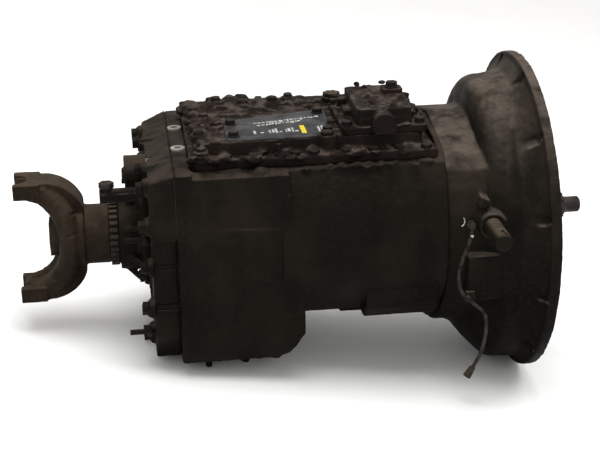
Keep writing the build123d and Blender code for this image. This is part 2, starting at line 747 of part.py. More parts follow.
counter_gears = [
    (DRIVE_COUNTER, DRIVE_X, 180), (THIRD_COUNTER, THIRD_X, 180), (SECOND_COUNTER, SECOND_X, 180),
    (FIRST_COUNTER, FIRST_X, 180), (REVERSE_COUNTER, REVERSE_X, counter_to_idler),
]
counter_steps = [
    (-444, MID_WALL_FRONT, JOURNAL_R), (MID_WALL_FRONT, -184, COUNTER_R), (-184, -169, JOURNAL_R),
]

with BuildPart() as countershaft_left:
    add(turned(counter_steps, y=CENTRES))
    for teeth, span, phase in counter_gears:
        add(spur_gear(teeth, span, COUNTER_R, phase, y=CENTRES))

with BuildPart() as countershaft_right:
    add(turned(counter_steps, y=-CENTRES))
    for teeth, span, phase in counter_gears:
        add(spur_gear(teeth, span, COUNTER_R, phase + 180, y=-CENTRES))

with BuildPart() as reverse_idler_left:
    add(spur_gear(IDLER_TEETH, REVERSE_X, 12 + RUN, idler_phase, y=idler_y, z=idler_z))

with BuildPart() as reverse_idler_right:
    add(spur_gear(IDLER_TEETH, REVERSE_X, 12 + RUN, idler_phase + 180, y=-idler_y, z=-idler_z))

with BuildPart() as idler_pins:
    for y, z in idler_centres:
        add(turned([(MID_WALL_BACK, -400, 12)], y=y, z=z))

with BuildPart() as front_collar:
    add(collar(COLLAR_X["front"], COLLAR_HALF))

with BuildPart() as middle_collar:
    add(collar(COLLAR_X["middle"], COLLAR_HALF))

with BuildPart() as reverse_collar:
    add(collar(COLLAR_X["reverse"], COLLAR_HALF))

# ---------------------------------------------------------------- range section
with BuildPart() as range_drive_gear:
    add(spur_gear(RANGE_TEETH, RANGE_X, SHAFT_R, -90 + 180 / RANGE_TEETH, recess=("back",)))

with BuildPart() as low_range_gear:
    add(spur_gear(LOW_TEETH, LOW_X, free_r, -90 + 180 / LOW_TEETH, recess=("front",)))

with BuildPart() as range_countershaft:
    add(turned([(-636, -619, JOURNAL_R), (-619, -446, COUNTER_R), (-446, -430, JOURNAL_R)], z=-RANGE_CENTRES))
    add(spur_gear(RANGE_COUNTER, RANGE_X, COUNTER_R, 90, z=-RANGE_CENTRES))
    add(spur_gear(LOW_COUNTER, LOW_X, COUNTER_R, 90, z=-RANGE_CENTRES))

with BuildPart() as range_collar:
    add(collar(COLLAR_X["range"], RANGE_COLLAR_HALF))

with BuildPart() as output_shaft:
    add(turned([(-473.5, -450, 15), (-618, -473.5, SHAFT_R), (-618, -563, 42)]))
    add(turned([(-790, -618, 30), (-815, -790, 20)]))
    add(spline_grooves(-561, -473.5), mode=Mode.SUBTRACT)

with BuildPart() as range_piston:
    add(turned([(-654, -478, ROD_R), (-652, -642, PISTON_R)], y=ROD_Y, z=ROD_Z))

with BuildPart() as range_fork:
    with BuildSketch(across(COLLAR_X["range"] - FORK_T / 2)):
        Circle(58)
        with BuildLine():
            Polyline((-56, 118), (-36, 124), (4, 50), (-44, 36), close=True)
        make_face()
        Circle(DOG_R + 0.4, mode=Mode.SUBTRACT)
        with Locations((0, -50)):
            Rectangle(130, 84, mode=Mode.SUBTRACT)
    extrude(amount=FORK_T)
    with BuildSketch(axis_plane(COLLAR_X["range"] - 11, ROD_Y, ROD_Z)):
        Circle(15)
    extrude(amount=22)
    with BuildSketch(axis_plane(COLLAR_X["range"] - 11, ROD_Y, ROD_Z)):
        Circle(ROD_R)
    extrude(amount=22, mode=Mode.SUBTRACT)


# ---------------------------------------------------------------- shift rails and forks
def shift_rail(y):
    """Rail with its shift block and the block's finger slot."""
    with BuildPart() as rail:
        add(turned([(-556, -192, RAIL_R)], y=y, z=RAIL_Z))
        with Locations((SELECT_X, y, 169)):
            Box(30, 20, 22)
        with Locations((SELECT_X, y, 176)):
            Box(10, 20, 10, mode=Mode.SUBTRACT)
        chamfer(rail.faces().sort_by(Axis.X)[-1].edges(), length=2)
    return rail.part


def shift_fork(x, y):
    """Fork plate that hangs from the rail at y and straddles the collar at x."""
    with BuildPart() as fork:
        with BuildSketch(across(x - FORK_T / 2)):
            Circle(58)
            with BuildLine():
                Polyline((y - 11, RAIL_Z), (y + 11, RAIL_Z), (26, 50), (-26, 50), close=True)
            make_face()
            Circle(DOG_R + 0.4, mode=Mode.SUBTRACT)
            with Locations((0, -50)):
                Rectangle(130, 84, mode=Mode.SUBTRACT)
        extrude(amount=FORK_T)
        with BuildSketch(axis_plane(x - 10, y, RAIL_Z)):
            Circle(13)
        extrude(amount=20)
        with BuildSketch(axis_plane(x - 10, y, RAIL_Z)):
            Circle(RAIL_R)
        extrude(amount=20, mode=Mode.SUBTRACT)
    return fork.part


with BuildPart() as front_rail:
    add(shift_rail(RAIL_PITCH))

with BuildPart() as middle_rail:
    add(shift_rail(0))

with BuildPart() as reverse_rail:
    add(shift_rail(-RAIL_PITCH))

with BuildPart() as front_fork:
    add(shift_fork(COLLAR_X["front"], RAIL_PITCH))

with BuildPart() as middle_fork:
    add(shift_fork(COLLAR_X["middle"], 0))

with BuildPart() as reverse_fork:
    add(shift_fork(COLLAR_X["reverse"], -RAIL_PITCH))

with BuildPart() as select_shaft:
    with BuildSketch(Plane.XZ.offset(139)):
        with Locations((SELECT_X, SELECT_Z)):
            Circle(SELECT_R)
    extrude(amount=-168)

with BuildPart() as shift_finger:
    with BuildSketch(Plane.XZ.offset(8)):
        with Locations((SELECT_X, SELECT_Z)):
            Circle(14.5)
        with Locations((SELECT_X, SELECT_Z - 18)):
            Rectangle(9, 17)
    extrude(amount=-16)
    with BuildSketch(Plane.XZ.offset(8)):
        with Locations((SELECT_X, SELECT_Z)):
            Circle(SELECT_R + RUN)
    extrude(amount=-16, mode=Mode.SUBTRACT)

# ---------------------------------------------------------------- bearings and seals
with BuildPart() as shaft_bearings:
    add(ball_bearing(FRONT_WALL, BELL_BACK, 30 + RUN, 60, 13))
    add(ball_bearing(MID_WALL_BACK, MID_WALL_FRONT, free_r, 55, 12))
    add(ball_bearing(COVER_BACK, COVER_INNER, 30 + RUN, 60, 12))

with BuildPart() as countershaft_bearings:
    for side in (1, -1):
        add(ball_bearing(FRONT_WALL, BELL_BACK, JOURNAL_R + RUN, 36, 10, y=side * CENTRES))
        add(ball_bearing(MID_WALL_BACK, MID_WALL_FRONT, JOURNAL_R + RUN, 36, 10, y=side * CENTRES))
    add(ball_bearing(MID_WALL_BACK, MID_WALL_FRONT, JOURNAL_R + RUN, 34, 10, z=-RANGE_CENTRES))
    add(ball_bearing(COVER_INNER - 17, COVER_INNER, JOURNAL_R + RUN, 34, 10, z=-RANGE_CENTRES))

with BuildPart() as oil_seals:
    with BuildSketch(across(BELL_BACK)):
        Circle(40)
        Circle(24 + RUN, mode=Mode.SUBTRACT)
    extrude(amount=7)
    with BuildSketch(across(-700)):
        Circle(46)
        Circle(30 + RUN, mode=Mode.SUBTRACT)
    extrude(amount=14)
    with BuildSketch(across(-700)):
        Circle(40)
        Circle(34, mode=Mode.SUBTRACT)
    extrude(amount=5, mode=Mode.SUBTRACT)

# ---------------------------------------------------------------- output end
with BuildPart() as speed_ring:
    with BuildSketch(across(-716)):
        Circle(52)
        with PolarLocations(53, 30):
            Rectangle(6, 5.5)
        Circle(30, mode=Mode.SUBTRACT)
    extrude(amount=14)

with BuildPart() as output_yoke:
    with BuildSketch(across(-794)):
        Circle(HUB_R)
    extrude(amount=36)
    with BuildSketch(across(-758)):
        Circle(51)
    extrude(amount=42)
    with BuildSketch(Plane.XZ):
        with BuildLine():
            for side in (1, -1):
                Line((-758, 0), (-758, side * 57))
                ThreePointArc((-758, side * 57), (-784, side * 92), (-826, side * EAR_TIP))
                Line((-826, side * EAR_TIP), (EAR_X, side * EAR_TIP))
                Line((EAR_X, side * EAR_TIP), (EAR_X, side * 79))
                Line((EAR_X, side * 79), (-842, side * 79))
                ThreePointArc((-842, side * 79), (-808, side * 48), (-794, 0))
        make_face()
    extrude(amount=30, both=True)
    for side in (1, -1):
        with Locations((-850, 0, side * 92)):
            Box(44, 78, 26)
    with BuildSketch(Plane.XY.offset(-120)):
        with Locations((EAR_X, 0)):
            Circle(23)
    extrude(amount=240, mode=Mode.SUBTRACT)
    with BuildSketch(across(-835)):
        Circle(39)
    extrude(amount=41, mode=Mode.SUBTRACT)
    with BuildSketch(across(-800)):
        Circle(30)
    extrude(amount=90, mode=Mode.SUBTRACT)
    with BuildSketch(across(EAR_X)):
        with Locations(*[(y, z) for y in (-31, 31) for z in (-92, 92)]):
            Circle(4.5)
    extrude(amount=24, mode=Mode.SUBTRACT)

with BuildPart() as yoke_nut:
    with BuildSketch(across(-796)):
        Circle(36)
    extrude(amount=2)
    with BuildSketch(across(-818)):
        RegularPolygon(34, 6)
    extrude(amount=22)
    with BuildSketch(across(-818)):
        Circle(20)
    extrude(amount=24, mode=Mode.SUBTRACT)

# ---------------------------------------------------------------- clutch release
with BuildPart() as release_shafts:
    with BuildSketch(Plane.XZ.offset(LEVER_END)):
        with Locations((CROSS_X, CROSS_Z)):
            Circle(LEVER_R)
    extrude(amount=LEVER_BACK - LEVER_END)
    chamfer(release_shafts.faces().sort_by(Axis.Y)[0].edges(), length=2.5)
    with BuildSketch(Plane.XZ.offset(LEVER_BACK)):
        with Locations((CROSS_X, CROSS_Z)):
            Circle(CROSS_R)
    extrude(amount=84 - LEVER_BACK)
    with BuildSketch(Plane.XZ.offset(-84)):
        with Locations((CROSS_X, CROSS_Z)):
            Circle(CROSS_R)
    extrude(amount=-146)
    with Locations((CROSS_X, -275, CROSS_Z + CROSS_R)):
        Box(5, 22, 6, mode=Mode.SUBTRACT)

with BuildPart() as release_yoke:
    with BuildSketch(across(CROSS_X - 12)):
        Circle(107)
        Circle(92, mode=Mode.SUBTRACT)
        with Locations((0, -40)):
            Rectangle(240, 150, mode=Mode.SUBTRACT)
    extrude(amount=24)
    for side in (1, -1):
        with BuildSketch(Plane.XZ.offset(-side * 84)):
            with Locations((CROSS_X, CROSS_Z)):
                Circle(24)
        extrude(amount=-side * 20)
        with Locations((CROSS_X, side * 78, 20)):
            Box(14, 12, 58)
        with Locations((CROSS_X, side * 82, 40)):
            Box(14, 14, 20)
    with BuildSketch(Plane.XZ):
        with Locations((CROSS_X, CROSS_Z)):
            Circle(CROSS_R)
    extrude(amount=130, both=True, mode=Mode.SUBTRACT)

with BuildPart() as release_bearing:
    with BuildSketch(across(-127)):
        Circle(50)
    extrude(amount=42)
    with BuildSketch(across(-108)):
        Circle(62)
    extrude(amount=18)
    for side in (1, -1):
        with Locations((-111.5, side * 64, 0)):
            Box(11, 36, 18)
    with BuildSketch(across(-127)):
        Circle(QUILL_R + RUN)
    extrude(amount=42, mode=Mode.SUBTRACT)

# ---------------------------------------------------------------- small fittings
with BuildPart() as nameplate:
    with BuildSketch(Plane.XY.offset(TOP_Z)):
        Polygon((-518, -125), (-342, -125), (-342, 30), (-518, -14), align=None)
        with Locations(PLUG_XY):
            Circle(17, mode=Mode.SUBTRACT)
        with Locations(*[(x, y) for x, y, z in plate_places]):
            Circle(4, mode=Mode.SUBTRACT)
    extrude(amount=2)

with BuildPart() as filler_breather:
    with BuildSketch(Plane.XY.offset(TOP_Z - 8)):
        with Locations(BREATHER_XY):
            Circle(10)
    extrude(amount=16)
    with BuildSketch(Plane.XY.offset(TOP_Z + 5)):
        with Locations(BREATHER_XY):
            Circle(17)
    extrude(amount=7)
    with BuildSketch(Plane.XY.offset(TOP_Z + 12)):
        with Locations(BREATHER_XY):
            Circle(15)
            with PolarLocations(16, 8):
                Circle(3.2, mode=Mode.SUBTRACT)
    extrude(amount=7)

with BuildPart() as neutral_switches:
    for x, y in SWITCH_XY:
        with BuildSketch(Plane.XY.offset(TOP_Z)):
            with Locations((x, y)):
                RegularPolygon(12, 6)
        extrude(amount=8)
        with BuildSketch(Plane.XY.offset(TOP_Z - 6)):
            with Locations((x, y)):
                Circle(8)
        extrude(amount=32)

with BuildPart() as air_fitting:
    with BuildSketch(across(-728)):
        with Locations(SENSOR_YZ):
            Circle(12)
    extrude(amount=COVER_BACK + 728)
    with BuildSketch(across(-664)):
        with Locations(SENSOR_YZ):
            RegularPolygon(16, 6)
    extrude(amount=14)
    with BuildSketch(across(COVER_BACK)):
        with Locations(SENSOR_YZ):
            Circle(9)
    extrude(amount=12)
    with BuildSketch(Plane.XY.offset(SENSOR_YZ[1])):
        with Locations((-716, SENSOR_YZ[0])):
            Circle(9.5)
    extrude(amount=16)
    with BuildSketch(Plane.XY.offset(SENSOR_YZ[1] + 14)):
        with Locations((-716, SENSOR_YZ[0])):
            RegularPolygon(12.5, 6)
    extrude(amount=9)

# ---------------------------------------------------------------- fasteners and plugs
with BuildPart() as clutch_side_bolts:
    add(hex_bolts(case_ring, (1, 0, 0), 9, 7, 5.4, BELL_WALL + 8))
    add(hex_bolts(quill_places, (1, 0, 0), 7, 5, 4.4, 19))

with BuildPart() as top_bolts:
    add(hex_bolts(top_places, (0, 0, 1), 9.5, 7, 4.9, 22, washer_r=11, washer_h=2))
    add(hex_bolts(tower_places, (0, 0, 1), 8.5, 7, 4.4, 22, washer_r=10, washer_h=1.5))
    add(hex_bolts([(*TOWER_PEAK_XY, TOP_Z + 48)], (0, 0, 1), 10, 8, 4.9, 11, washer_r=12, washer_h=2))
    add(hex_bolts(plate_places, (0, 0, 1), 8.5, 6, 3.9, 9.5, washer_r=10, washer_h=1.5))

with BuildPart() as rear_bolts:
    add(hex_bolts([(x - 8, y, z) for x, y, z in cover_places], (-1, 0, 0), 10.5, 9, 5.9, 66,
                  washer_r=12, washer_h=2))
    add(hex_bolts(retainer_places, (-1, 0, 0), 9, 7, 4.9, 23, washer_r=10.5, washer_h=2))
    for y, z in STUD_YZ:
        add(turned([(-692, COVER_BACK, 4.5)], y=y, z=z))
        with BuildSketch(axis_plane(-664, y, z)):
            RegularPolygon(9, 6)
        extrude(amount=8)

with BuildPart() as plugs:
    add(hex_bolts([(-520, RANGE_HALF, -60)], (0, 1, 0), 18, 9, 14.9, 11))
    add(hex_bolts([(*DRAIN_XY, -RANGE_DEPTH - 3)], (0, 0, -1), 13, 6, 10.9, 16))
    add(hex_bolts([(*PLUG_XY, TOP_Z + 5)], (0, 0, 1), 11, 5, 7.9, 12))
    add(hex_bolts([(*NIPPLE_XY, TOP_FLANGE_Z)], (0, 0, 1), 8, 7, 4, 5))
    with BuildSketch(Plane.XY.offset(TOP_FLANGE_Z)):
        with Locations(NIPPLE_XY):
            Circle(4.5)
    extrude(amount=22)
    for x, y in BUSH_XY:
        with BuildSketch(Plane.XY.offset(150)):
            with Locations((x, y)):
                Circle(BUSH_R)
                Circle(6, mode=Mode.SUBTRACT)
        extrude(amount=9)

# ---------------------------------------------------------------- switch lead on the clutch housing
route = [Vector(*point) for point in CORD_ROUTE]
runs = [b - a for a, b in zip(route, route[1:])]
radii = []
for run, following in zip(runs, runs[1:]):
    half_turn = radians(run.get_angle(following)) / 2
    radii.append(0.45 * min(run.length, following.length) / tan(half_turn))
print("cord radii", [round(r, 1) for r in radii], "runs", [round(run.length, 1) for run in runs])

with BuildPart() as cord:
    with BuildLine():
        path = FilletPolyline(*route, radius=radii)
    with BuildSketch(Plane(origin=path @ 0, z_dir=path % 0)):
        Circle(CORD_R)
    sweep(path=path)
full_tube = pi * CORD_R**2 * path.length
print("cord length", round(path.length, 1), "volume ratio", round(cord.part.volume / full_tube, 4))

first_run = runs[0].normalized()
with BuildPart() as cord_gland:
    with BuildSketch(Plane.XZ.offset(187)):
        with Locations(GLAND_XZ):
            RegularPolygon(8, 6)
    extrude(amount=7)
    with BuildSketch(Plane.XZ.offset(187)):
        with Locations(GLAND_XZ):
            Circle(5)
    extrude(amount=-18)
    with Locations(route[0] - first_run * 6):
        Sphere(6)
    with BuildSketch(Plane(origin=route[0], z_dir=first_run)):
        Circle(5)
    extrude(amount=-6)
    with BuildSketch(Plane(origin=route[0], z_dir=first_run)):
        Circle(12)
    extrude(amount=8, mode=Mode.SUBTRACT)

last_run = runs[-1].normalized()
with BuildPart() as cord_connector:
    with BuildSketch(Plane(origin=route[-1], z_dir=last_run)):
        Circle(5)
    with BuildSketch(Plane(origin=route[-1] + last_run * CORD_TIP, z_dir=last_run)):
        Circle(7)
    loft()

clip_run = runs[4].normalized()
clip_at = (route[4] + route[5]) * 0.5
with BuildPart() as cord_clip:
    with BuildSketch(Plane(origin=clip_at - clip_run * 4, z_dir=clip_run)):
        Circle(5.5)
    extrude(amount=8)
    with Locations((-133.5, -209.5, -70)):
        Box(15, 7, 12)
    with BuildSketch(Plane(origin=clip_at - clip_run * 14, z_dir=clip_run)):
        Circle(CORD_R)
    extrude(amount=28, mode=Mode.SUBTRACT)

# ---------------------------------------------------------------- export
pieces = {
    "clutch_housing": clutch_housing, "main_case": main_case,
    "front_bearing_retainer": front_bearing_retainer, "rear_cover": rear_cover, "gaskets": gaskets, "output_bearing_retainer": output_bearing_retainer,
    "range_cylinder": range_cylinder, "shift_bar_housing": shift_bar_housing, "shift_tower": shift_tower,
    "tower_cap": tower_cap, "nameplate": nameplate,
    "input_shaft": input_shaft, "mainshaft": mainshaft, "third_gear": third_gear, "second_gear": second_gear,
    "first_gear": first_gear, "reverse_gear": reverse_gear, "countershaft_left": countershaft_left,
    "countershaft_right": countershaft_right, "reverse_idler_left": reverse_idler_left,
    "reverse_idler_right": reverse_idler_right, "idler_pins": idler_pins, "front_collar": front_collar,
    "middle_collar": middle_collar, "reverse_collar": reverse_collar,
    "range_drive_gear": range_drive_gear, "low_range_gear": low_range_gear,
    "range_countershaft": range_countershaft, "range_collar": range_collar, "output_shaft": output_shaft,
    "range_piston": range_piston, "range_fork": range_fork,
    "front_rail": front_rail, "middle_rail": middle_rail, "reverse_rail": reverse_rail,
    "front_fork": front_fork, "middle_fork": middle_fork, "reverse_fork": reverse_fork,
    "select_shaft": select_shaft, "shift_finger": shift_finger,
    "shaft_bearings": shaft_bearings, "countershaft_bearings": countershaft_bearings, "oil_seals": oil_seals,
    "speed_ring": speed_ring, "output_yoke": output_yoke, "yoke_nut": yoke_nut,
    "release_shafts": release_shafts, "release_yoke": release_yoke, "release_bearing": release_bearing,
    "filler_breather": filler_breather, "neutral_switches": neutral_switches, "air_fitting": air_fitting,
    "clutch_side_bolts": clutch_side_bolts, "top_bolts": top_bolts, "rear_bolts": rear_bolts, "plugs": plugs,
    "cord": cord, "cord_gland": cord_gland, "cord_connector": cord_connector, "cord_clip": cord_clip,
}
for name, piece in pieces.items():
    piece.part.label = name
    export_step(piece.part, f"parts/{name}.step")
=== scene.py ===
"""Looks of a heavy truck gearbox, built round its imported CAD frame.

Metres, in the frame of the CAD model: +X runs along the shafts towards the engine, +Z is up, and the
clutch release shaft sticks out towards -Y.  Castings are remeshed copies of their CAD nodes, with cast
edges, dirt and foundry marks; forged and turned parts are copies with eased edges.
"""

import random
from math import cos, radians, sin

import bmesh
import bpy
from mathutils import Matrix, Vector, noise


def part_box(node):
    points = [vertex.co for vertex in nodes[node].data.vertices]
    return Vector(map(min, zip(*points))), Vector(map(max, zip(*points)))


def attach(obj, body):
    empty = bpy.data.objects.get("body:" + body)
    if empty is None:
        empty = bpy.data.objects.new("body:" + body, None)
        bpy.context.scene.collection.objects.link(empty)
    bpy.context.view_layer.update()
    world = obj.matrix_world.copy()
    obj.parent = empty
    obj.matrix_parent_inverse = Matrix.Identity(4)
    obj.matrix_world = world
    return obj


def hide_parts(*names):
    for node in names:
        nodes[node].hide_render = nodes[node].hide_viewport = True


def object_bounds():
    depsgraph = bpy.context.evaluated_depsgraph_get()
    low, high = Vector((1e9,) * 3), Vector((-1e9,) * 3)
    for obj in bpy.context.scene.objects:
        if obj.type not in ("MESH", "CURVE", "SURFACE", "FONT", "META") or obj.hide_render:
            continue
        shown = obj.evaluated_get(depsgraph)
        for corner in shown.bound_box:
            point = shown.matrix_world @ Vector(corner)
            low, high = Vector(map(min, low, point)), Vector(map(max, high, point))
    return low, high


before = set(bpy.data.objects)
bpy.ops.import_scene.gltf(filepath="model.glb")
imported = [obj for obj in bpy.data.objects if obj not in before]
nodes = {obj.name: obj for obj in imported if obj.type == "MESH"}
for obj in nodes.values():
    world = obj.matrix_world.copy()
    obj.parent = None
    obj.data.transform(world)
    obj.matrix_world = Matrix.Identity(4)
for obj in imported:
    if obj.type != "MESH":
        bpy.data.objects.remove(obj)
cad_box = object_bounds()

MM = 0.001
CAD_LOW, CAD_HIGH = Vector(cad_box[0]), Vector(cad_box[1])

# ---------------------------------------------------------------- camera
LENS = 90.0
SENSOR = 36.0
AZIMUTH, ELEVATION, ROLL = radians(6.909), radians(20.765), radians(-1.123)
DISTANCE = 2.6163
TARGET = Vector((-0.38817, 0.0, -0.02103))


def add_camera():
    """Camera at AZIMUTH and ELEVATION round TARGET, rolled about its own axis."""
    back = Vector((-sin(AZIMUTH) * cos(ELEVATION), -cos(AZIMUTH) * cos(ELEVATION), sin(ELEVATION)))
    right = Vector((cos(AZIMUTH), -sin(AZIMUTH), 0))
    up = back.cross(right)
    rolled_right = right * cos(ROLL) + up * sin(ROLL)
    rolled_up = up * cos(ROLL) - right * sin(ROLL)
    data = bpy.data.cameras.new("camera")
    data.lens = LENS
    data.sensor_width = SENSOR
    camera = bpy.data.objects.new("camera", data)
    bpy.context.scene.collection.objects.link(camera)
    turn = Matrix((rolled_right, rolled_up, back)).transposed()
    camera.matrix_world = Matrix.Translation(TARGET + back * DISTANCE) @ turn.to_4x4()
    bpy.context.scene.camera = camera


# ---------------------------------------------------------------- materials
# Painted shade: below this height the castings turn towards the near-black colour on the next line, darker
# towards the bottom.
LOW_SHADE_HEIGHT = 0.17
LOW_SHADE_BLACK = (0.0020, 0.0017, 0.0013)
IRON_SHINE = 0.04
DULL_SHINE = 0.1
# Pale top colour of the fittings: partly real dusting, partly painted top light.
DUST_AND_LIGHT = (0.105, 0.080, 0.058)


def shader(name):
    """New material: returns it, its node tree and its principled shader."""
    material = bpy.data.materials.new(name)
    material.use_nodes = True
    tree = material.node_tree
    return material, tree, tree.nodes["Principled BSDF"]


def noise_value(tree, scale, detail=4.0, rough=0.6, stretch=(1, 1, 1)):
    """Noise over the object's own coordinates."""
    place = tree.nodes.new("ShaderNodeTexCoord")
    mapping = tree.nodes.new("ShaderNodeMapping")
    mapping.inputs["Scale"].default_value = stretch
    texture = tree.nodes.new("ShaderNodeTexNoise")
    texture.inputs["Scale"].default_value = scale
    texture.inputs["Detail"].default_value = detail
    texture.inputs["Roughness"].default_value = rough
    tree.links.new(place.outputs["Object"], mapping.inputs["Vector"])
    tree.links.new(mapping.outputs["Vector"], texture.inputs["Vector"])
    return texture.outputs["Fac"]


def spread(tree, value, low, high):
    """Value stretched so that low becomes 0 and high becomes 1, smoothly."""
    step = tree.nodes.new("ShaderNodeMapRange")
    step.interpolation_type = "SMOOTHSTEP"
    step.inputs["From Min"].default_value = low
    step.inputs["From Max"].default_value = high
    tree.links.new(value, step.inputs["Value"])
    return step.outputs["Result"]


def maths(tree, operation, a, b):
    """One math node; a and b are sockets or numbers."""
    node = tree.nodes.new("ShaderNodeMath")
    node.operation = operation
    node.use_clamp = True
    for socket, value in zip(node.inputs, (a, b)):
        if isinstance(value, (int, float)):
            socket.default_value = value
        else:
            tree.links.new(value, socket)
    return node.outputs["Value"]


def mixed(tree, factor, a, b):
    """Colour a turning into colour b by factor; a and b are sockets or colours."""
    node = tree.nodes.new("ShaderNodeMix")
    node.data_type = "RGBA"
    tree.links.new(factor, node.inputs["Factor"])
    for socket, value in ((node.inputs["A"], a), (node.inputs["B"], b)):
        if isinstance(value, tuple):
            socket.default_value = (*value, 1.0)
        else:
            tree.links.new(value, socket)
    return node.outputs["Result"]


def upward(tree):
    """How far the surface faces up, from -1 to 1."""
    geometry = tree.nodes.new("ShaderNodeNewGeometry")
    split = tree.nodes.new("ShaderNodeSeparateXYZ")
    tree.links.new(geometry.outputs["Normal"], split.inputs["Vector"])
    return split.outputs["Z"]


def lower_down(tree, top, bottom):
    """0 above the height top, 1 below the height bottom, in metres."""
    place = tree.nodes.new("ShaderNodeTexCoord")
    split = tree.nodes.new("ShaderNodeSeparateXYZ")
    tree.links.new(place.outputs["Object"], split.inputs["Vector"])
    return spread(tree, split.outputs["Z"], top, bottom)


def edges(tree, low, high):
    """1 on worn convex edges, 0 elsewhere."""
    geometry = tree.nodes.new("ShaderNodeNewGeometry")
    return spread(tree, geometry.outputs["Pointiness"], low, high)


def bumped(tree, principled, layers):
    """Stack of bump nodes; layers are (height socket, distance in metres, strength)."""
    normal = None
    for height, distance, strength in layers:
        bump = tree.nodes.new("ShaderNodeBump")
        bump.inputs["Distance"].default_value = distance
        bump.inputs["Strength"].default_value = strength
        tree.links.new(height, bump.inputs["Height"])
        if normal is not None:
            tree.links.new(normal, bump.inputs["Normal"])
        normal = bump.outputs["Normal"]
    tree.links.new(normal, principled.inputs["Normal"])


def grimy_iron(name, iron, stain, dust_and_light, worn, dust_and_light_from=0.25, dust_and_light_share=0.9, rough=0.62, edge=0.5,
               low_shade=0.0, mottle=(22.0, 0.28, 0.62)):
    """Cast iron under old oil stains: blotches, upper faces paler with dusting and painted top light, rubbed
    edges, pores.

    The four colours are the bare iron, its stain, the pale top and the worn edge.  The pale top is partly
    real dusting and partly painted top light; it lies in patches on faces that look up further than the given
    threshold, at the given share, and edge is how much its edges are rubbed.  The low-shade setting is how
    far painted shade darkens the parts below the shafts, darker towards the bottom.
    mottle is the scale of the patches of the pale top and the noise values between which they fade in.
    """
    material, tree, principled = shader(name)
    blotch = spread(tree, noise_value(tree, 9.0, 5.0), 0.36, 0.66)
    streak = spread(tree, noise_value(tree, 14.0, 4.0, stretch=(1, 1, 0.25)), 0.42, 0.7)
    fine = noise_value(tree, 160.0, 6.0, 0.7)
    colour = mixed(tree, blotch, iron, stain)
    colour = mixed(tree, maths(tree, "MULTIPLY", streak, 0.5), colour, tuple(c * 0.45 for c in iron))
    # Painted shade: the parts below the shafts turn near black towards the bottom.
    if low_shade:
        low_shade_amount = maths(tree, "MULTIPLY", lower_down(tree, LOW_SHADE_HEIGHT, -LOW_SHADE_HEIGHT), low_shade)
        colour = mixed(tree, low_shade_amount, colour, LOW_SHADE_BLACK)
    # Paler upward faces, in patches: partly real dusting and partly painted top light.
    facing = spread(tree, upward(tree), dust_and_light_from, 0.95)
    patch = spread(tree, noise_value(tree, mottle[0], 6.0, 0.65), *mottle[1:])
    dust_and_light_mask = maths(tree, "MULTIPLY", maths(tree, "MULTIPLY", facing, patch), dust_and_light_share)
    colour = mixed(tree, dust_and_light_mask, colour, dust_and_light)
    speck = spread(tree, fine, 0.5, 0.72)
    colour = mixed(tree, maths(tree, "MULTIPLY", speck, 0.35), colour, tuple(c * 1.5 for c in stain))
    rubbed = maths(tree, "MULTIPLY", edges(tree, 0.52, 0.62), spread(tree, noise_value(tree, 40.0), 0.4, 0.6))
    colour = mixed(tree, maths(tree, "MULTIPLY", rubbed, edge), colour, worn)
    tree.links.new(colour, principled.inputs["Base Color"])
    greasy = spread(tree, noise_value(tree, 12.0, 3.0), 0.3, 0.7)
    roughness = maths(tree, "ADD", maths(tree, "MULTIPLY", greasy, 0.22), rough - 0.11)
    roughness = maths(tree, "ADD", roughness, maths(tree, "MULTIPLY", dust_and_light_mask, 0.25))
    tree.links.new(roughness, principled.inputs["Roughness"])
    principled.inputs["Specular IOR Level"].default_value = IRON_SHINE
    bumped(tree, principled, [
        (noise_value(tree, 45.0, 5.0), 2.0 * MM, 0.35),
        (fine, 0.7 * MM, 0.5),
    ])
    return material


def worked_steel(name, steel, dirt, metallic=0.9, rough=0.34, dirt_share=0.5, grain=(1, 12, 12)):
    """Turned or ground steel with a fine grain and patches of old oil."""
    material, tree, principled = shader(name)
    patch = spread(tree, noise_value(tree, 30.0, 5.0), 0.4, 0.68)
    grain_value = noise_value(tree, 90.0, 3.0, 0.5, stretch=grain)
    colour = mixed(tree, grain_value, tuple(c * 0.8 for c in steel), steel)
    colour = mixed(tree, maths(tree, "MULTIPLY", patch, dirt_share), colour, dirt)
    tree.links.new(colour, principled.inputs["Base Color"])
    roughness = maths(tree, "ADD", maths(tree, "MULTIPLY", patch, 0.3), rough)
    tree.links.new(roughness, principled.inputs["Roughness"])
    principled.inputs["Metallic"].default_value = metallic
    bumped(tree, principled, [(grain_value, 0.15 * MM, 0.35)])
    return material


def dull(name, colour, second, rough=0.8, scale=60.0, depth=0.3):
    """Rubber, fibre or paint: two close tones, matt, with a faint grain."""
    material, tree, principled = shader(name)
    tone = spread(tree, noise_value(tree, scale, 5.0), 0.35, 0.65)
    tree.links.new(mixed(tree, tone, colour, second), principled.inputs["Base Color"])
    principled.inputs["Roughness"].default_value = rough
    principled.inputs["Specular IOR Level"].default_value = DULL_SHINE
    bumped(tree, principled, [(noise_value(tree, scale * 4, 4.0), depth * MM, 0.4)])
    return material


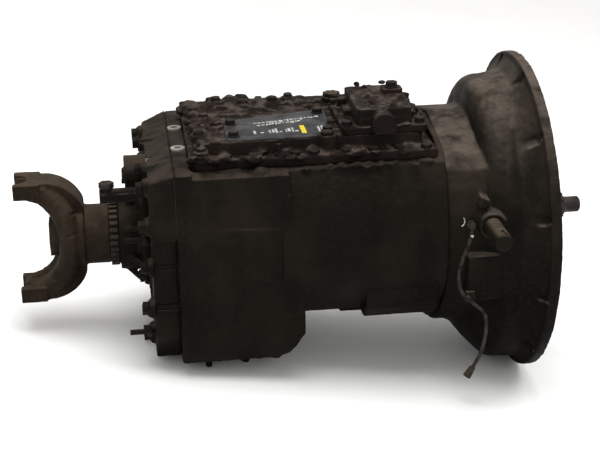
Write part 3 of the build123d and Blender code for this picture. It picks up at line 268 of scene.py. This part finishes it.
# Iron of the castings: the case and the bell darken below the shafts with painted shade, and upward faces
# take dusting that is partly painted top light.
case_iron = grimy_iron(
    "case_iron", iron=(0.0060, 0.0050, 0.0036), stain=(0.0125, 0.0094, 0.0064), dust_and_light=(0.046, 0.034, 0.026),
    worn=(0.030, 0.024, 0.019), dust_and_light_share=0.75, edge=0.35, low_shade=0.45)
bell_iron = grimy_iron(
    "bell_iron", iron=(0.0085, 0.0071, 0.0055), stain=(0.0185, 0.0142, 0.0098), dust_and_light=(0.088, 0.071, 0.058),
    worn=(0.070, 0.058, 0.048), dust_and_light_from=0.36, dust_and_light_share=0.95, low_shade=0.9)
cover_iron = grimy_iron(
    "cover_iron", iron=(0.0070, 0.0050, 0.0040), stain=(0.017, 0.0115, 0.0088), dust_and_light=(0.064, 0.048, 0.039),
    worn=(0.066, 0.052, 0.043), dust_and_light_from=0.45, mottle=(42.0, 0.44, 0.62))
yoke_iron = grimy_iron(
    "yoke_iron", iron=(0.013, 0.0090, 0.0060), stain=(0.030, 0.021, 0.014), dust_and_light=(0.056, 0.041, 0.028),
    worn=(0.080, 0.062, 0.046), dust_and_light_from=0.1, dust_and_light_share=0.8)
bolt_steel = grimy_iron(
    "bolt_steel", iron=(0.0045, 0.0038, 0.0032), stain=(0.011, 0.0082, 0.0062), dust_and_light=(0.030, 0.022, 0.017),
    worn=(0.050, 0.042, 0.035), dust_and_light_from=0.6, dust_and_light_share=0.55, rough=0.5)
fitting_steel = grimy_iron(
    "fitting_steel", iron=(0.0075, 0.0058, 0.0043), stain=(0.016, 0.012, 0.009), dust_and_light=DUST_AND_LIGHT,
    worn=(0.09, 0.078, 0.066), dust_and_light_from=0.4, dust_and_light_share=0.6, rough=0.5)
shaft_steel = worked_steel(
    "shaft_steel", steel=(0.16, 0.145, 0.13), dirt=(0.045, 0.035, 0.027), rough=0.45)
dusty_steel = worked_steel(
    "dusty_steel", steel=(0.030, 0.020, 0.015), dirt=(0.015, 0.010, 0.008), metallic=0.3, rough=0.6,
    dirt_share=0.8)
gear_steel = worked_steel(
    "gear_steel", steel=(0.38, 0.37, 0.36), dirt=(0.08, 0.06, 0.04), dirt_share=0.6)
fork_iron = worked_steel(
    "fork_iron", steel=(0.16, 0.15, 0.135), dirt=(0.05, 0.04, 0.032), metallic=0.5, rough=0.5,
    grain=(3, 3, 3))
bearing_steel = worked_steel(
    "bearing_steel", steel=(0.62, 0.62, 0.63), dirt=(0.12, 0.09, 0.06), rough=0.16, dirt_share=0.3)
bush_steel = worked_steel(
    "bush_steel", steel=(0.34, 0.31, 0.28), dirt=(0.10, 0.08, 0.065), metallic=0.4, rough=0.45)
gasket_fibre = dull("gasket_fibre", (0.010, 0.008, 0.006), (0.022, 0.017, 0.012))
seal_rubber = dull("seal_rubber", (0.007, 0.0065, 0.006), (0.014, 0.012, 0.011), rough=0.6)
cord_rubber = dull("cord_rubber", (0.008, 0.006, 0.0048), (0.040, 0.031, 0.024), rough=0.7, scale=90.0)
brass = worked_steel(
    "brass", steel=(0.034, 0.025, 0.013), dirt=(0.010, 0.008, 0.006), metallic=0.4, rough=0.5, dirt_share=0.8)
plate_alloy = dull(
    "plate_alloy", (0.013, 0.0132, 0.0135), (0.036, 0.037, 0.038), rough=0.5, scale=35.0, depth=0.15)
mark_white = dull("mark_white", (0.14, 0.14, 0.135), (0.50, 0.50, 0.48), rough=0.6, scale=300.0)
mark_yellow = dull("mark_yellow", (0.40, 0.30, 0.015), (0.62, 0.48, 0.03), rough=0.6, scale=200.0)
floor_paint = dull("floor_paint", (0.93, 0.93, 0.925), (0.95, 0.95, 0.945), rough=0.9, scale=3.0, depth=0.1)


# ---------------------------------------------------------------- mesh helpers
def cad_copy(*names):
    """Welded copy of CAD nodes, as a bmesh."""
    bm = bmesh.new()
    for name in names:
        bm.from_mesh(nodes[name].data)
    bmesh.ops.remove_doubles(bm, verts=bm.verts, dist=1e-6)
    return bm


def finished(name, bm, material, modifiers=(), smooth_angle=40.0):
    """Object made of bm with its modifiers applied and its mesh inside the CAD model's box."""
    mesh = bpy.data.meshes.new(name)
    bm.to_mesh(mesh)
    bm.free()
    draft = bpy.data.objects.new(name + "_draft", mesh)
    bpy.context.scene.collection.objects.link(draft)
    for kind, settings in modifiers:
        modifier = draft.modifiers.new(kind, kind)
        for key, value in settings.items():
            setattr(modifier, key, value)
    evaluated = draft.evaluated_get(bpy.context.evaluated_depsgraph_get())
    result = bpy.data.meshes.new_from_object(evaluated)
    result.name = name
    bpy.data.objects.remove(draft)
    bpy.data.meshes.remove(mesh)
    for vertex in result.vertices:
        for axis in range(3):
            vertex.co[axis] = min(max(vertex.co[axis], CAD_LOW[axis]), CAD_HIGH[axis])
    result.materials.clear()
    result.materials.append(material)
    piece = bpy.data.objects.new(name, result)
    bpy.context.scene.collection.objects.link(piece)
    result.shade_smooth()
    if smooth_angle:
        result.set_sharp_from_angle(angle=radians(smooth_angle))
    return piece


def lump_texture(name, size):
    """Cloud texture with lumps of a size in metres."""
    texture = bpy.data.textures.new(name, "CLOUDS")
    texture.noise_scale = size
    texture.noise_depth = 3
    return texture


WIDE_LUMPS = lump_texture("wide_lumps", 0.05)
SMALL_LUMPS = lump_texture("small_lumps", 0.009)
SOFT_BEND = radians(0.8)
SHARP_BEND = radians(35)


def keep_clear(mesh, low, high):
    """Push the vertices inside the box from low to high, in mm, out through its nearest side."""
    low, high = Vector(low) * MM, Vector(high) * MM
    for vertex in mesh.vertices:
        co = vertex.co
        ways = [(co[i] - low[i], i, low[i]) for i in range(3)]
        ways += [(high[i] - co[i], i, high[i]) for i in range(3)]
        distance, axis, side = min(ways)
        if distance > 0:
            co[axis] = side


def casting(name, node, body, slot, material, voxel=2.5, smoothing=6, wide=1.6, small=0.8, extras=None,
            dirt=0.0, hollows=()):
    """Cast copy of a CAD node: voxel mesh, softened edges and an uneven skin.

    voxel, wide, small and dirt are in mm: wide and small are the heights of the skin's lumps, and dirt is the
    depth of the crust.  extras adds foundry details to the mesh first.  hollows are the boxes that moving
    parts need clear.
    """
    bm = cad_copy(node)
    if extras:
        extras(bm)
    size = voxel * MM * 1.0
    piece = finished(name, bm, material, [
        ("REMESH", {"mode": "VOXEL", "voxel_size": size}),
        ("SMOOTH", {"factor": 0.5, "iterations": smoothing}),
        ("DISPLACE", {"texture": WIDE_LUMPS, "strength": wide * MM, "mid_level": 0.55,
                      "texture_coords": "LOCAL"}),
        ("DISPLACE", {"texture": SMALL_LUMPS, "strength": (small + dirt) * MM, "mid_level": 0.5,
                      "texture_coords": "LOCAL"}),
    ], smooth_angle=0)
    for low, high in hollows:
        keep_clear(piece.data, low, high)
    return placed(piece, body, slot, node)


def eased(name, node, body, slot, material, width=0.8, segments=2):
    """Copy of a CAD node with its sharp edges rounded off; width is the bevel's, in mm."""
    bm = cad_copy(node)
    bmesh.ops.dissolve_limit(bm, angle_limit=SOFT_BEND, verts=bm.verts, edges=bm.edges)
    piece = finished(name, bm, material, [
        ("BEVEL", {"width": width * MM, "segments": segments, "limit_method": "ANGLE",
                   "angle_limit": SHARP_BEND, "use_clamp_overlap": True}),
        ("TRIANGULATE", {}),
    ])
    return placed(piece, body, slot, node)


def placed(piece, body, slot, *replaced):
    """Piece riding on a body, and standing for the CAD nodes it replaces; slot is not used."""
    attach(piece, body)
    if replaced:
        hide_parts(*replaced)
    return piece


def bar(bm, low, high, turn=0.0):
    """Box from low to high, in mm, turned about its own centre's Y axis by turn degrees."""
    low, high = Vector(low) * MM, Vector(high) * MM
    centre, size = (low + high) / 2, high - low
    matrix = (Matrix.Translation(centre) @ Matrix.Rotation(radians(turn), 4, "Y")
              @ Matrix.Diagonal((*size, 1)))
    bmesh.ops.create_cube(bm, size=1.0, matrix=matrix)


def rod(bm, start, end, radius, tip=None, sides=32):
    """Round rod from start to end, in mm; tip is its radius at the end."""
    start, end = Vector(start) * MM, Vector(end) * MM
    along = end - start
    matrix = Matrix.Translation((start + end) / 2) @ along.to_track_quat("Z", "Y").to_matrix().to_4x4()
    bmesh.ops.create_cone(bm, cap_ends=True, segments=sides, radius1=radius * MM,
                          radius2=(radius if tip is None else tip) * MM, depth=along.length, matrix=matrix)


def prism(bm, outline, back, front):
    """Solid with a (Y, Z) outline in mm, from x = back to x = front."""
    ends = []
    for x in (back, front):
        ends.append([bm.verts.new(Vector((x, y, z)) * MM) for y, z in outline])
    bm.faces.new(ends[0][::-1])
    bm.faces.new(ends[1])
    for i in range(len(outline)):
        j = (i + 1) % len(outline)
        bm.faces.new((ends[0][i], ends[0][j], ends[1][j], ends[1][i]))


def sector(bm, profile, start, end, steps):
    """Solid swept round the X axis; profile is (x, radius) in mm, start and end are angles in degrees."""
    rings = []
    for k in range(steps + 1):
        angle = radians(start + (end - start) * k / steps)
        rings.append([bm.verts.new(Vector((x, r * cos(angle), r * sin(angle))) * MM) for x, r in profile])
    bm.faces.new(rings[0][::-1])
    bm.faces.new(rings[-1])
    for near, far in zip(rings, rings[1:]):
        for i in range(len(profile)):
            j = (i + 1) % len(profile)
            bm.faces.new((near[i], near[j], far[j], far[i]))


CLUMP_GRAIN = 130
CLUMP_ROUGHNESS = 0.5
CLUMP_SIZES = (0.45, 1.3)
CLUMP_FLATNESS = (0.3, 0.7)


def clump(bm, place, size, flat=0.5):
    """Lump of caked dirt: a rough flattened ball of a radius in mm."""
    centre = Vector(place) * MM
    matrix = Matrix.Translation(centre) @ Matrix.Diagonal((size * MM, size * MM, size * flat * MM, 1))
    made = bmesh.ops.create_icosphere(bm, subdivisions=2, radius=1.0, matrix=matrix)
    for vertex in made["verts"]:
        swell = noise.noise(vertex.co * CLUMP_GRAIN) * CLUMP_ROUGHNESS
        vertex.co += (vertex.co - centre) * swell


def scattered(bm, count, low, high, size, seed):
    """Clumps of dirt at random places between two corners, in mm."""
    draw = random.Random(seed)
    for _ in range(count):
        place = [draw.uniform(a, b) for a, b in zip(low, high)]
        clump(bm, place, size * draw.uniform(*CLUMP_SIZES), draw.uniform(*CLUMP_FLATNESS))


# ---------------------------------------------------------------- castings
CASE_BACK, CASE_SIDE, CASE_TOP = -600, 188, 150    # mm, the main case's deep end
COVER_BACK, COVER_FRONT = -578, -182               # mm, the shift bar housing's flange
TOP_HALF_WIDTH = 110                               # mm, its raised top
HEAD_HEIGHT, WASHER_RATIO = 7, 1.45                # mm, and washer radius over bolt head radius
FIRST_HOLE, HOLE_STEP, HALF_POCKET = 15, 30, 1.9   # degrees round the clutch housing's flange
FOUNDRY_RIBS = 45                                  # degrees from rib to rib, on the rear parts
REAR_EDGE_DROP, REAR_EDGE_NARROWER = 15, 0.93      # mm, and new width over old


def bell_extras(bm):
    """Bracket tab and fillets between the flange's bolt pockets."""
    bar(bm, (-119, -200, 74), (-101, -180, 92), turn=24)
    fillet = [(-56, 222), (-54, 229), (-40, 241), (-28, 254), (-16, 270), (-10, 270), (-10, 254), (-30, 239)]
    for hole in range(FIRST_HOLE, FIRST_HOLE + 360, HOLE_STEP):
        sector(bm, fillet, hole + HALF_POCKET, hole + HOLE_STEP - HALF_POCKET, 8)


def case_extras(bm):
    """Casting lines and rear bead of the deep end, ledges and shoulder of the front end, dirt."""
    ledge = [(186, -62), (178, -98), (152, -122), (110, -124), (112, -117), (148, -114), (170, -92),
             (178, -64)]
    for side in (-1, 1):
        rod(bm, (CASE_BACK, side * 189, 64), (-425, side * 191, 54), 4)
        rod(bm, (-427, side * 191, 116), (-429, side * 190, -20), 4)
        prism(bm, [(side * y, z) for y, z in ledge][::side], -302, -182)
    bar(bm, (-330, -60, -151), (-190, 60, -138))
    shoulder = [(150, 148), (134, 160), (97, 172), (0, 183)]
    shoulder += [(-y, z) for y, z in reversed(shoulder[:-1])]
    prism(bm, shoulder, -177, -166)
    scattered(bm, 60, (-585, -176, CASE_TOP - 1), (-190, -158, CASE_TOP + 2), 7.0, 5)
    for side in (-1, 1):
        bar(bm, (-615, side * CASE_SIDE - 1.6, 52), (-601, side * CASE_SIDE + 1.6, CASE_TOP - 1))
    bar(bm, (-615, 1 - CASE_SIDE, CASE_TOP - 10), (-604, CASE_SIDE - 1, CASE_TOP + 0.6))
    scattered(bm, 30, (CASE_BACK, -176, CASE_TOP - 2), (-584, -66, CASE_TOP + 2), 9.0, 8)
    scattered(bm, 30, (CASE_BACK, -20, CASE_TOP - 2), (-584, 52, CASE_TOP + 2), 9.0, 7)
    scattered(bm, 30, (CASE_BACK, 98, CASE_TOP - 2), (-584, 176, CASE_TOP + 3), 9.0, 6)
    scattered(bm, 40, (CASE_BACK, -150, -196), (-440, 120, -186), 8.0, 9)


def cover_extras(bm):
    """Cast ridges, pads and old bolt heads of the shift bar housing, and the dirt caked round them."""
    for y in (-150, 150):
        bar(bm, (COVER_BACK + 3, y - 3, 163), (COVER_FRONT, y + 3, 168))
    for low, high in (((-560, 20, 187), (-430, 52, 191)), ((-545, -128, 176), (-530, -116, 190))):
        bar(bm, low, high)
    for x, y, radius, top in ((-385, 40, 18, 191.5), (-530, -20, 14, 191)):
        rod(bm, (x, y, 186), (x, y, top), radius)
    for low, high in (((-420, 96, 180), (-300, 126, 189)), ((-360, -118, 184), (-330, 60, 190)),
                      ((-572, -120, 168), (-540, 110, 182)), ((-577, 112, 165), (-520, 150, 183)),
                      ((-520, 64, 186), (-350, 76, 194)), ((-450, 30, 186), (-438, 120, 195))):
        bar(bm, low, high)
    for x, y, radius, top in ((-562, -91, 10, 201), (-532, -50, 10, 203), (-548, 12, 9, 200),
                              (-563, 60, 10, 198), (-520, 104, 10, 202), (-474, 88, 12, 199),
                              (-423, 84, 11, 203), (-392, 108, 9, 201), (-562, -136, 9, 186),
                              (-526, 140, 11, 190), (-340, -60, 8, 198)):
        base = 184 if abs(y) < TOP_HALF_WIDTH else 166
        rod(bm, (x, y, base), (x, y, top - HEAD_HEIGHT), radius * WASHER_RATIO, sides=24)
        rod(bm, (x, y, base), (x, y, top), radius, sides=6)
    scattered(bm, 46, (COVER_BACK, -154, 164), (COVER_FRONT, -130, 170), 11.0, 11)
    scattered(bm, 50, (COVER_BACK, 128, 164), (COVER_FRONT, 152, 178), 12.0, 12)
    scattered(bm, 34, (-572, -124, 184), (-526, 124, 190), 12.0, 13)
    scattered(bm, 40, (-516, 44, 187), (-340, 124, 192), 10.0, 14)


def tower_extras(bm):
    """Ribs, two bolt heads and dirt of the shift tower."""
    for low, high in (((-300, -122, 198), (-222, -112, 214)), ((-214, -90, 198), (-206, 6, 214)),
                      ((-318, -60, 196), (-306, -20, 212))):
        bar(bm, low, high)
    for x, y, top in ((-312, 4, 216), (-316, 40, 212)):
        rod(bm, (x, y, 190), (x, y, top), 9, sides=6)
    scattered(bm, 60, (-328, -124, 199), (-196, 50, 204), 7.0, 21)
    scattered(bm, 20, (-302, -112, 228), (-218, 46, 231), 6.0, 22)
    scattered(bm, 26, (-210, -120, 190), (-196, 30, 214), 8.0, 23)


def rear_extras(bm):
    """Ribs between the rear cover's bosses, its lower and narrower rear edge, and the dirt on top."""
    for angle in range(20, 380, FOUNDRY_RIBS):
        y, z = cos(radians(angle)), sin(radians(angle))
        rod(bm, (-648, 92 * y, 92 * z), (-648, 135 * y, 135 * z), 6)
    for vertex in bm.verts:
        if vertex.co.x < -649 * MM and vertex.co.z > 149 * MM:
            vertex.co.z -= REAR_EDGE_DROP * MM
            vertex.co.y *= REAR_EDGE_NARROWER
    scattered(bm, 40, (-654, -170, 112), (-646, 176, 132), 9.0, 31)


def retainer_extras(bm):
    """Short ribs between the output bearing retainer's flange and its snout, and the snout's lip."""
    for angle in range(22, 382, FOUNDRY_RIBS):
        y, z = cos(radians(angle)), sin(radians(angle))
        rod(bm, (-664, 84 * y, 84 * z), (-690, 58 * y, 58 * z), 5)
    for start in (0, 180):
        sector(bm, [(-702.4, 40), (-702.4, 53), (-686, 56), (-686, 40)], start, start + 180, 24)


def yoke_extras(bm):
    """Band that runs from ear to ear past the hub, and the forging line on each ear."""
    band = 19
    path = [(-848, 14, 90), (-824, 18, 84), (-804, 26, 68), (-790, 36, 44), (-783, 42, 18)]
    path += [(x, y, -z) for x, y, z in reversed(path)]
    for side in (-1, 1):
        rod(bm, (-866, 0, side * 104.2), (-828, 0, side * 104.2), 2.2)
        places = [(x, side * y, z) for x, y, z in path]
        for start, end in zip(places, places[1:]):
            rod(bm, start, end, band)
            clump(bm, end, band, 1.0)


def add_castings():
    """The cast outer parts, and the forged yoke with its scaly skin."""
    finger_low, finger_high = (-295, -65), (-235, 45)
    casting("bell_casting", "clutch_housing", "housing", "bell_iron", bell_iron, extras=bell_extras,
            voxel=2.6)
    casting("case_casting", "main_case", "housing", "case_iron", case_iron, extras=case_extras, voxel=2.6,
            wide=2.2, small=1.0)
    casting("shift_bar_casting", "shift_bar_housing", "housing", "cover_iron", cover_iron,
            extras=cover_extras, voxel=1.9, smoothing=4, wide=3.0, dirt=1.0,
            hollows=[((-541, -75, 140), (-207, 75, 181)), ((*finger_low, 140), (*finger_high, 200))])
    casting("tower_casting", "shift_tower", "housing", "cover_iron", cover_iron, extras=tower_extras,
            voxel=1.5, smoothing=4, wide=2.4, dirt=0.8, hollows=[((*finger_low, 180), (*finger_high, 224))])
    casting("rear_casting", "rear_cover", "housing", "case_iron", case_iron, extras=rear_extras, voxel=2.2,
            dirt=0.5)
    casting("retainer_casting", "output_bearing_retainer", "housing", "case_iron", case_iron,
            extras=retainer_extras, voxel=1.6, smoothing=4)
    casting("cylinder_casting", "range_cylinder", "housing", "case_iron", case_iron, voxel=1.3, smoothing=4)
    casting("cap_casting", "tower_cap", "housing", "cover_iron", cover_iron, voxel=0.9, smoothing=4,
            wide=0.3, small=0.3)
    casting("yoke_forging", "output_yoke", "output", "yoke_steel", yoke_iron, extras=yoke_extras,
            voxel=1.5, smoothing=10, wide=1.6, small=0.5)


# ---------------------------------------------------------------- forged and turned parts
BUSHES_BEHIND, BUSHES_ABOVE = -0.582, 0.149    # metres: the plugs' faces that are pale dowel bushes


def add_fittings():
    """Fasteners, fittings, shafts and the release gear that show outside."""
    eased("cover_bolts", "top_bolts", "housing", "bolt_steel", bolt_steel, 1.1)
    eased("rear_fasteners", "rear_bolts", "housing", "bolt_steel", bolt_steel, 1.2)
    eased("clutch_side_fasteners", "clutch_side_bolts", "housing", "bolt_steel", bolt_steel, 1.0)
    plugs = eased("plugs_and_bushes", "plugs", "housing", "bolt_steel", bolt_steel, 0.8)
    plugs.data.materials.append(bush_steel)
    for face in plugs.data.polygons:
        if face.center.x < BUSHES_BEHIND and face.center.z > BUSHES_ABOVE:
            face.material_index = 1
    eased("breather", "filler_breather", "housing", "bolt_steel", fitting_steel, 1.0)
    eased("switches", "neutral_switches", "housing", "bolt_steel", bolt_steel, 0.8)
    eased("air_connection", "air_fitting", "housing", "bolt_steel", bolt_steel, 0.8)
    eased("yoke_retaining_nut", "yoke_nut", "output", "yoke_steel", yoke_iron, 1.4)
    eased("tone_ring", "speed_ring", "output", "yoke_steel", fitting_steel, 0.5)
    eased("input_spline", "input_shaft", "input", "shaft_steel", dusty_steel, 0.5)
    eased("release_cross_shaft", "release_shafts", "release", "dusty_steel", fitting_steel, 0.7)
    eased("release_fork", "release_yoke", "release", "fork_iron", fork_iron, 1.5)
    eased("throwout_bearing", "release_bearing", "throwout", "dusty_steel", dusty_steel, 0.8)
    eased("quill", "front_bearing_retainer", "housing", "case_iron", fitting_steel, 1.0)
    eased("lead_gland", "cord_gland", "housing", "brass", brass, 0.5)
    eased("lead_clip", "cord_clip", "housing", "bolt_steel", fitting_steel, 0.5)
    eased("lead_connector", "cord_connector", "housing", "cord_rubber", cord_rubber, 1.0)


# ---------------------------------------------------------------- nameplate
INK_THICK = 0.3    # mm


def add_nameplate():
    """Plate with worn printed strokes that spell nothing, and one yellow stroke.

    Strokes are placed in mm from the plate's low corner; rows of text slope with the plate's far edge.
    """
    eased("data_plate", "nameplate", "housing", "nameplate", plate_alloy, 0.5)
    low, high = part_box("nameplate")
    ink_height = high.z + 0.08 * MM
    row_start, row_end, row_slope = 50.0, 158, 0.2
    draw = random.Random(40)
    white, yellow = bmesh.new(), bmesh.new()

    def stroke(bm, x, y, length, width):
        centre = Vector((low.x + x * MM, low.y + y * MM, ink_height))
        bmesh.ops.create_cube(bm, size=1.0, matrix=Matrix.Translation(centre)
                              @ Matrix.Diagonal((length * MM, width * MM, INK_THICK * MM, 1)))

    for row, y in enumerate((88, 76)):
        x = row_start + 5 * row
        while x < row_end - 30 * row:
            length = draw.uniform(2.5, 7.0)
            across = y + row_slope * (x - row_start) + draw.uniform(-2, 2)
            stroke(white, x + length / 2, across, length, draw.uniform(3.0, 11.0))
            x += length + draw.uniform(0.8, 2.4)
    for x in (48, 73, 79, 84, 100, 105, 111, 154, 160):
        stroke(white, x, 40 + draw.uniform(-3, 3), draw.uniform(2.0, 4.5), draw.uniform(14, 30))
    for x in (60, 91, 117, 166):
        stroke(white, x, 34, draw.uniform(4, 7), 5)
    stroke(yellow, 128, 42, 8, 44)
    for name, bm, material in (("plate_strokes", white, mark_white),
                               ("plate_yellow_stroke", yellow, mark_yellow)):
        piece = finished(name, bm, material, [("BEVEL", {"width": 0.1 * MM, "segments": 1})])
        placed(piece, "housing", "nameplate")


# ---------------------------------------------------------------- switch lead
LEAD_RADIUS = 3.0
LEAD_ROUTE = [
    (-130, -199, 41), (-135, -207, 22), (-147, -208, -6), (-155, -209, -36), (-150, -213, -65),
    (-130, -219, -82), (-110, -222, -98), (-108, -224, -124), (-112, -226, -151), (-120, -228, -175),
    (-131, -229, -192),
]


def add_lead():
    """The switch lead: one smooth curve through its route, hanging down the clutch housing."""
    data = bpy.data.curves.new("switch_lead", "CURVE")
    data.dimensions = "3D"
    data.bevel_depth = LEAD_RADIUS * MM
    data.bevel_resolution = 6
    data.resolution_u = 12
    spline = data.splines.new("NURBS")
    spline.points.add(len(LEAD_ROUTE) - 1)
    for point, place in zip(spline.points, LEAD_ROUTE):
        point.co = (*(Vector(place) * MM), 1.0)
    spline.order_u = 3
    spline.use_endpoint_u = True
    data.use_fill_caps = True
    data.materials.append(cord_rubber)
    lead = bpy.data.objects.new("switch_lead", data)
    bpy.context.scene.collection.objects.link(lead)
    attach(lead, "housing")
    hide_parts("cord")


def add_tie():
    """Loose nylon tie left beside the switch lead's gland: an arc, and its cut end."""
    bm = bmesh.new()
    steps = 10
    arc = []
    for k in range(steps + 1):
        angle = radians(-75 + 120 * k / steps)
        arc.append((-150 + 7 * cos(angle), -200, 56 + 8.5 * sin(angle)))
    for start, end in zip(arc, arc[1:]):
        rod(bm, start, end, 1.1, sides=8)
    bar(bm, (-134, -206, 29), (-129, -199, 33))
    tie = finished("loose_tie", bm, mark_white, [("REMESH", {"mode": "VOXEL", "voxel_size": 0.5 * MM}),
                                                ("SMOOTH", {"factor": 0.5, "iterations": 3})])
    placed(tie, "housing", "cord_rubber")


# ---------------------------------------------------------------- nodes shown as the CAD has them
KEPT = {
    "gaskets": gasket_fibre, "oil_seals": seal_rubber, "shaft_bearings": bearing_steel,
    "countershaft_bearings": bearing_steel, "mainshaft": shaft_steel, "output_shaft": shaft_steel,
    "range_piston": shaft_steel, "front_rail": shaft_steel, "middle_rail": shaft_steel,
    "reverse_rail": shaft_steel, "select_shaft": shaft_steel, "idler_pins": shaft_steel,
    "front_fork": fork_iron, "middle_fork": fork_iron, "reverse_fork": fork_iron, "range_fork": fork_iron,
    "shift_finger": fork_iron,
}
for gear in ("third_gear", "second_gear", "first_gear", "reverse_gear", "countershaft_left",
             "countershaft_right", "reverse_idler_left", "reverse_idler_right", "front_collar",
             "middle_collar", "reverse_collar", "range_drive_gear", "low_range_gear", "range_countershaft",
             "range_collar"):
    KEPT[gear] = gear_steel


def dress_kept_nodes():
    """Materials for the CAD nodes that no piece replaces, most of them inside."""
    for name, material in KEPT.items():
        data = nodes[name].data
        data.materials.clear()
        data.materials.append(material)


# ---------------------------------------------------------------- stage
FLOOR_RADIUS = 9.0    # metres
FLOOR_GAP = 0.001     # metres below the flange
FOOT_X = -0.601       # metres, where the case's deep end stands
WORLD_COLOUR, WORLD_STRENGTH = (1.0, 0.99, 0.975, 1.0), 0.92


def add_stage():
    """Pale floor that touches the flange and the rear foot, soft lights and a white surround."""
    flange_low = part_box("clutch_housing")[0].z
    foot_low = min(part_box("main_case")[0].z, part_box("plugs")[0].z)
    tilt = (foot_low - flange_low) / FOOT_X
    bm = bmesh.new()
    bmesh.ops.create_circle(bm, cap_ends=True, segments=96, radius=FLOOR_RADIUS)
    for vertex in bm.verts:
        vertex.co.z = flange_low - FLOOR_GAP + vertex.co.x * tilt
    mesh = bpy.data.meshes.new("floor")
    bm.to_mesh(mesh)
    bm.free()
    mesh.materials.append(floor_paint)
    floor = bpy.data.objects.new("floor", mesh)
    bpy.context.scene.collection.objects.link(floor)

    world = bpy.data.worlds.new("studio")
    world.use_nodes = True
    background = world.node_tree.nodes["Background"]
    background.inputs["Color"].default_value = WORLD_COLOUR
    background.inputs["Strength"].default_value = WORLD_STRENGTH
    bpy.context.scene.world = world
    for name, place, size, power in (("key", (-0.4, -0.5, 2.4), 1.6, 46.0),
                                     ("fill", (1.6, 0.6, 1.8), 1.2, 18.0)):
        data = bpy.data.lights.new(name, "AREA")
        data.size = size
        data.energy = power
        light = bpy.data.objects.new(name, data)
        bpy.context.scene.collection.objects.link(light)
        light.location = place
        light.rotation_euler = (TARGET - Vector(place)).to_track_quat("-Z", "Y").to_euler()
    bpy.context.scene.view_settings.view_transform = "Standard"


add_camera()
add_fittings()
add_lead()
add_castings()
add_nameplate()
add_tie()
dress_kept_nodes()
add_stage()
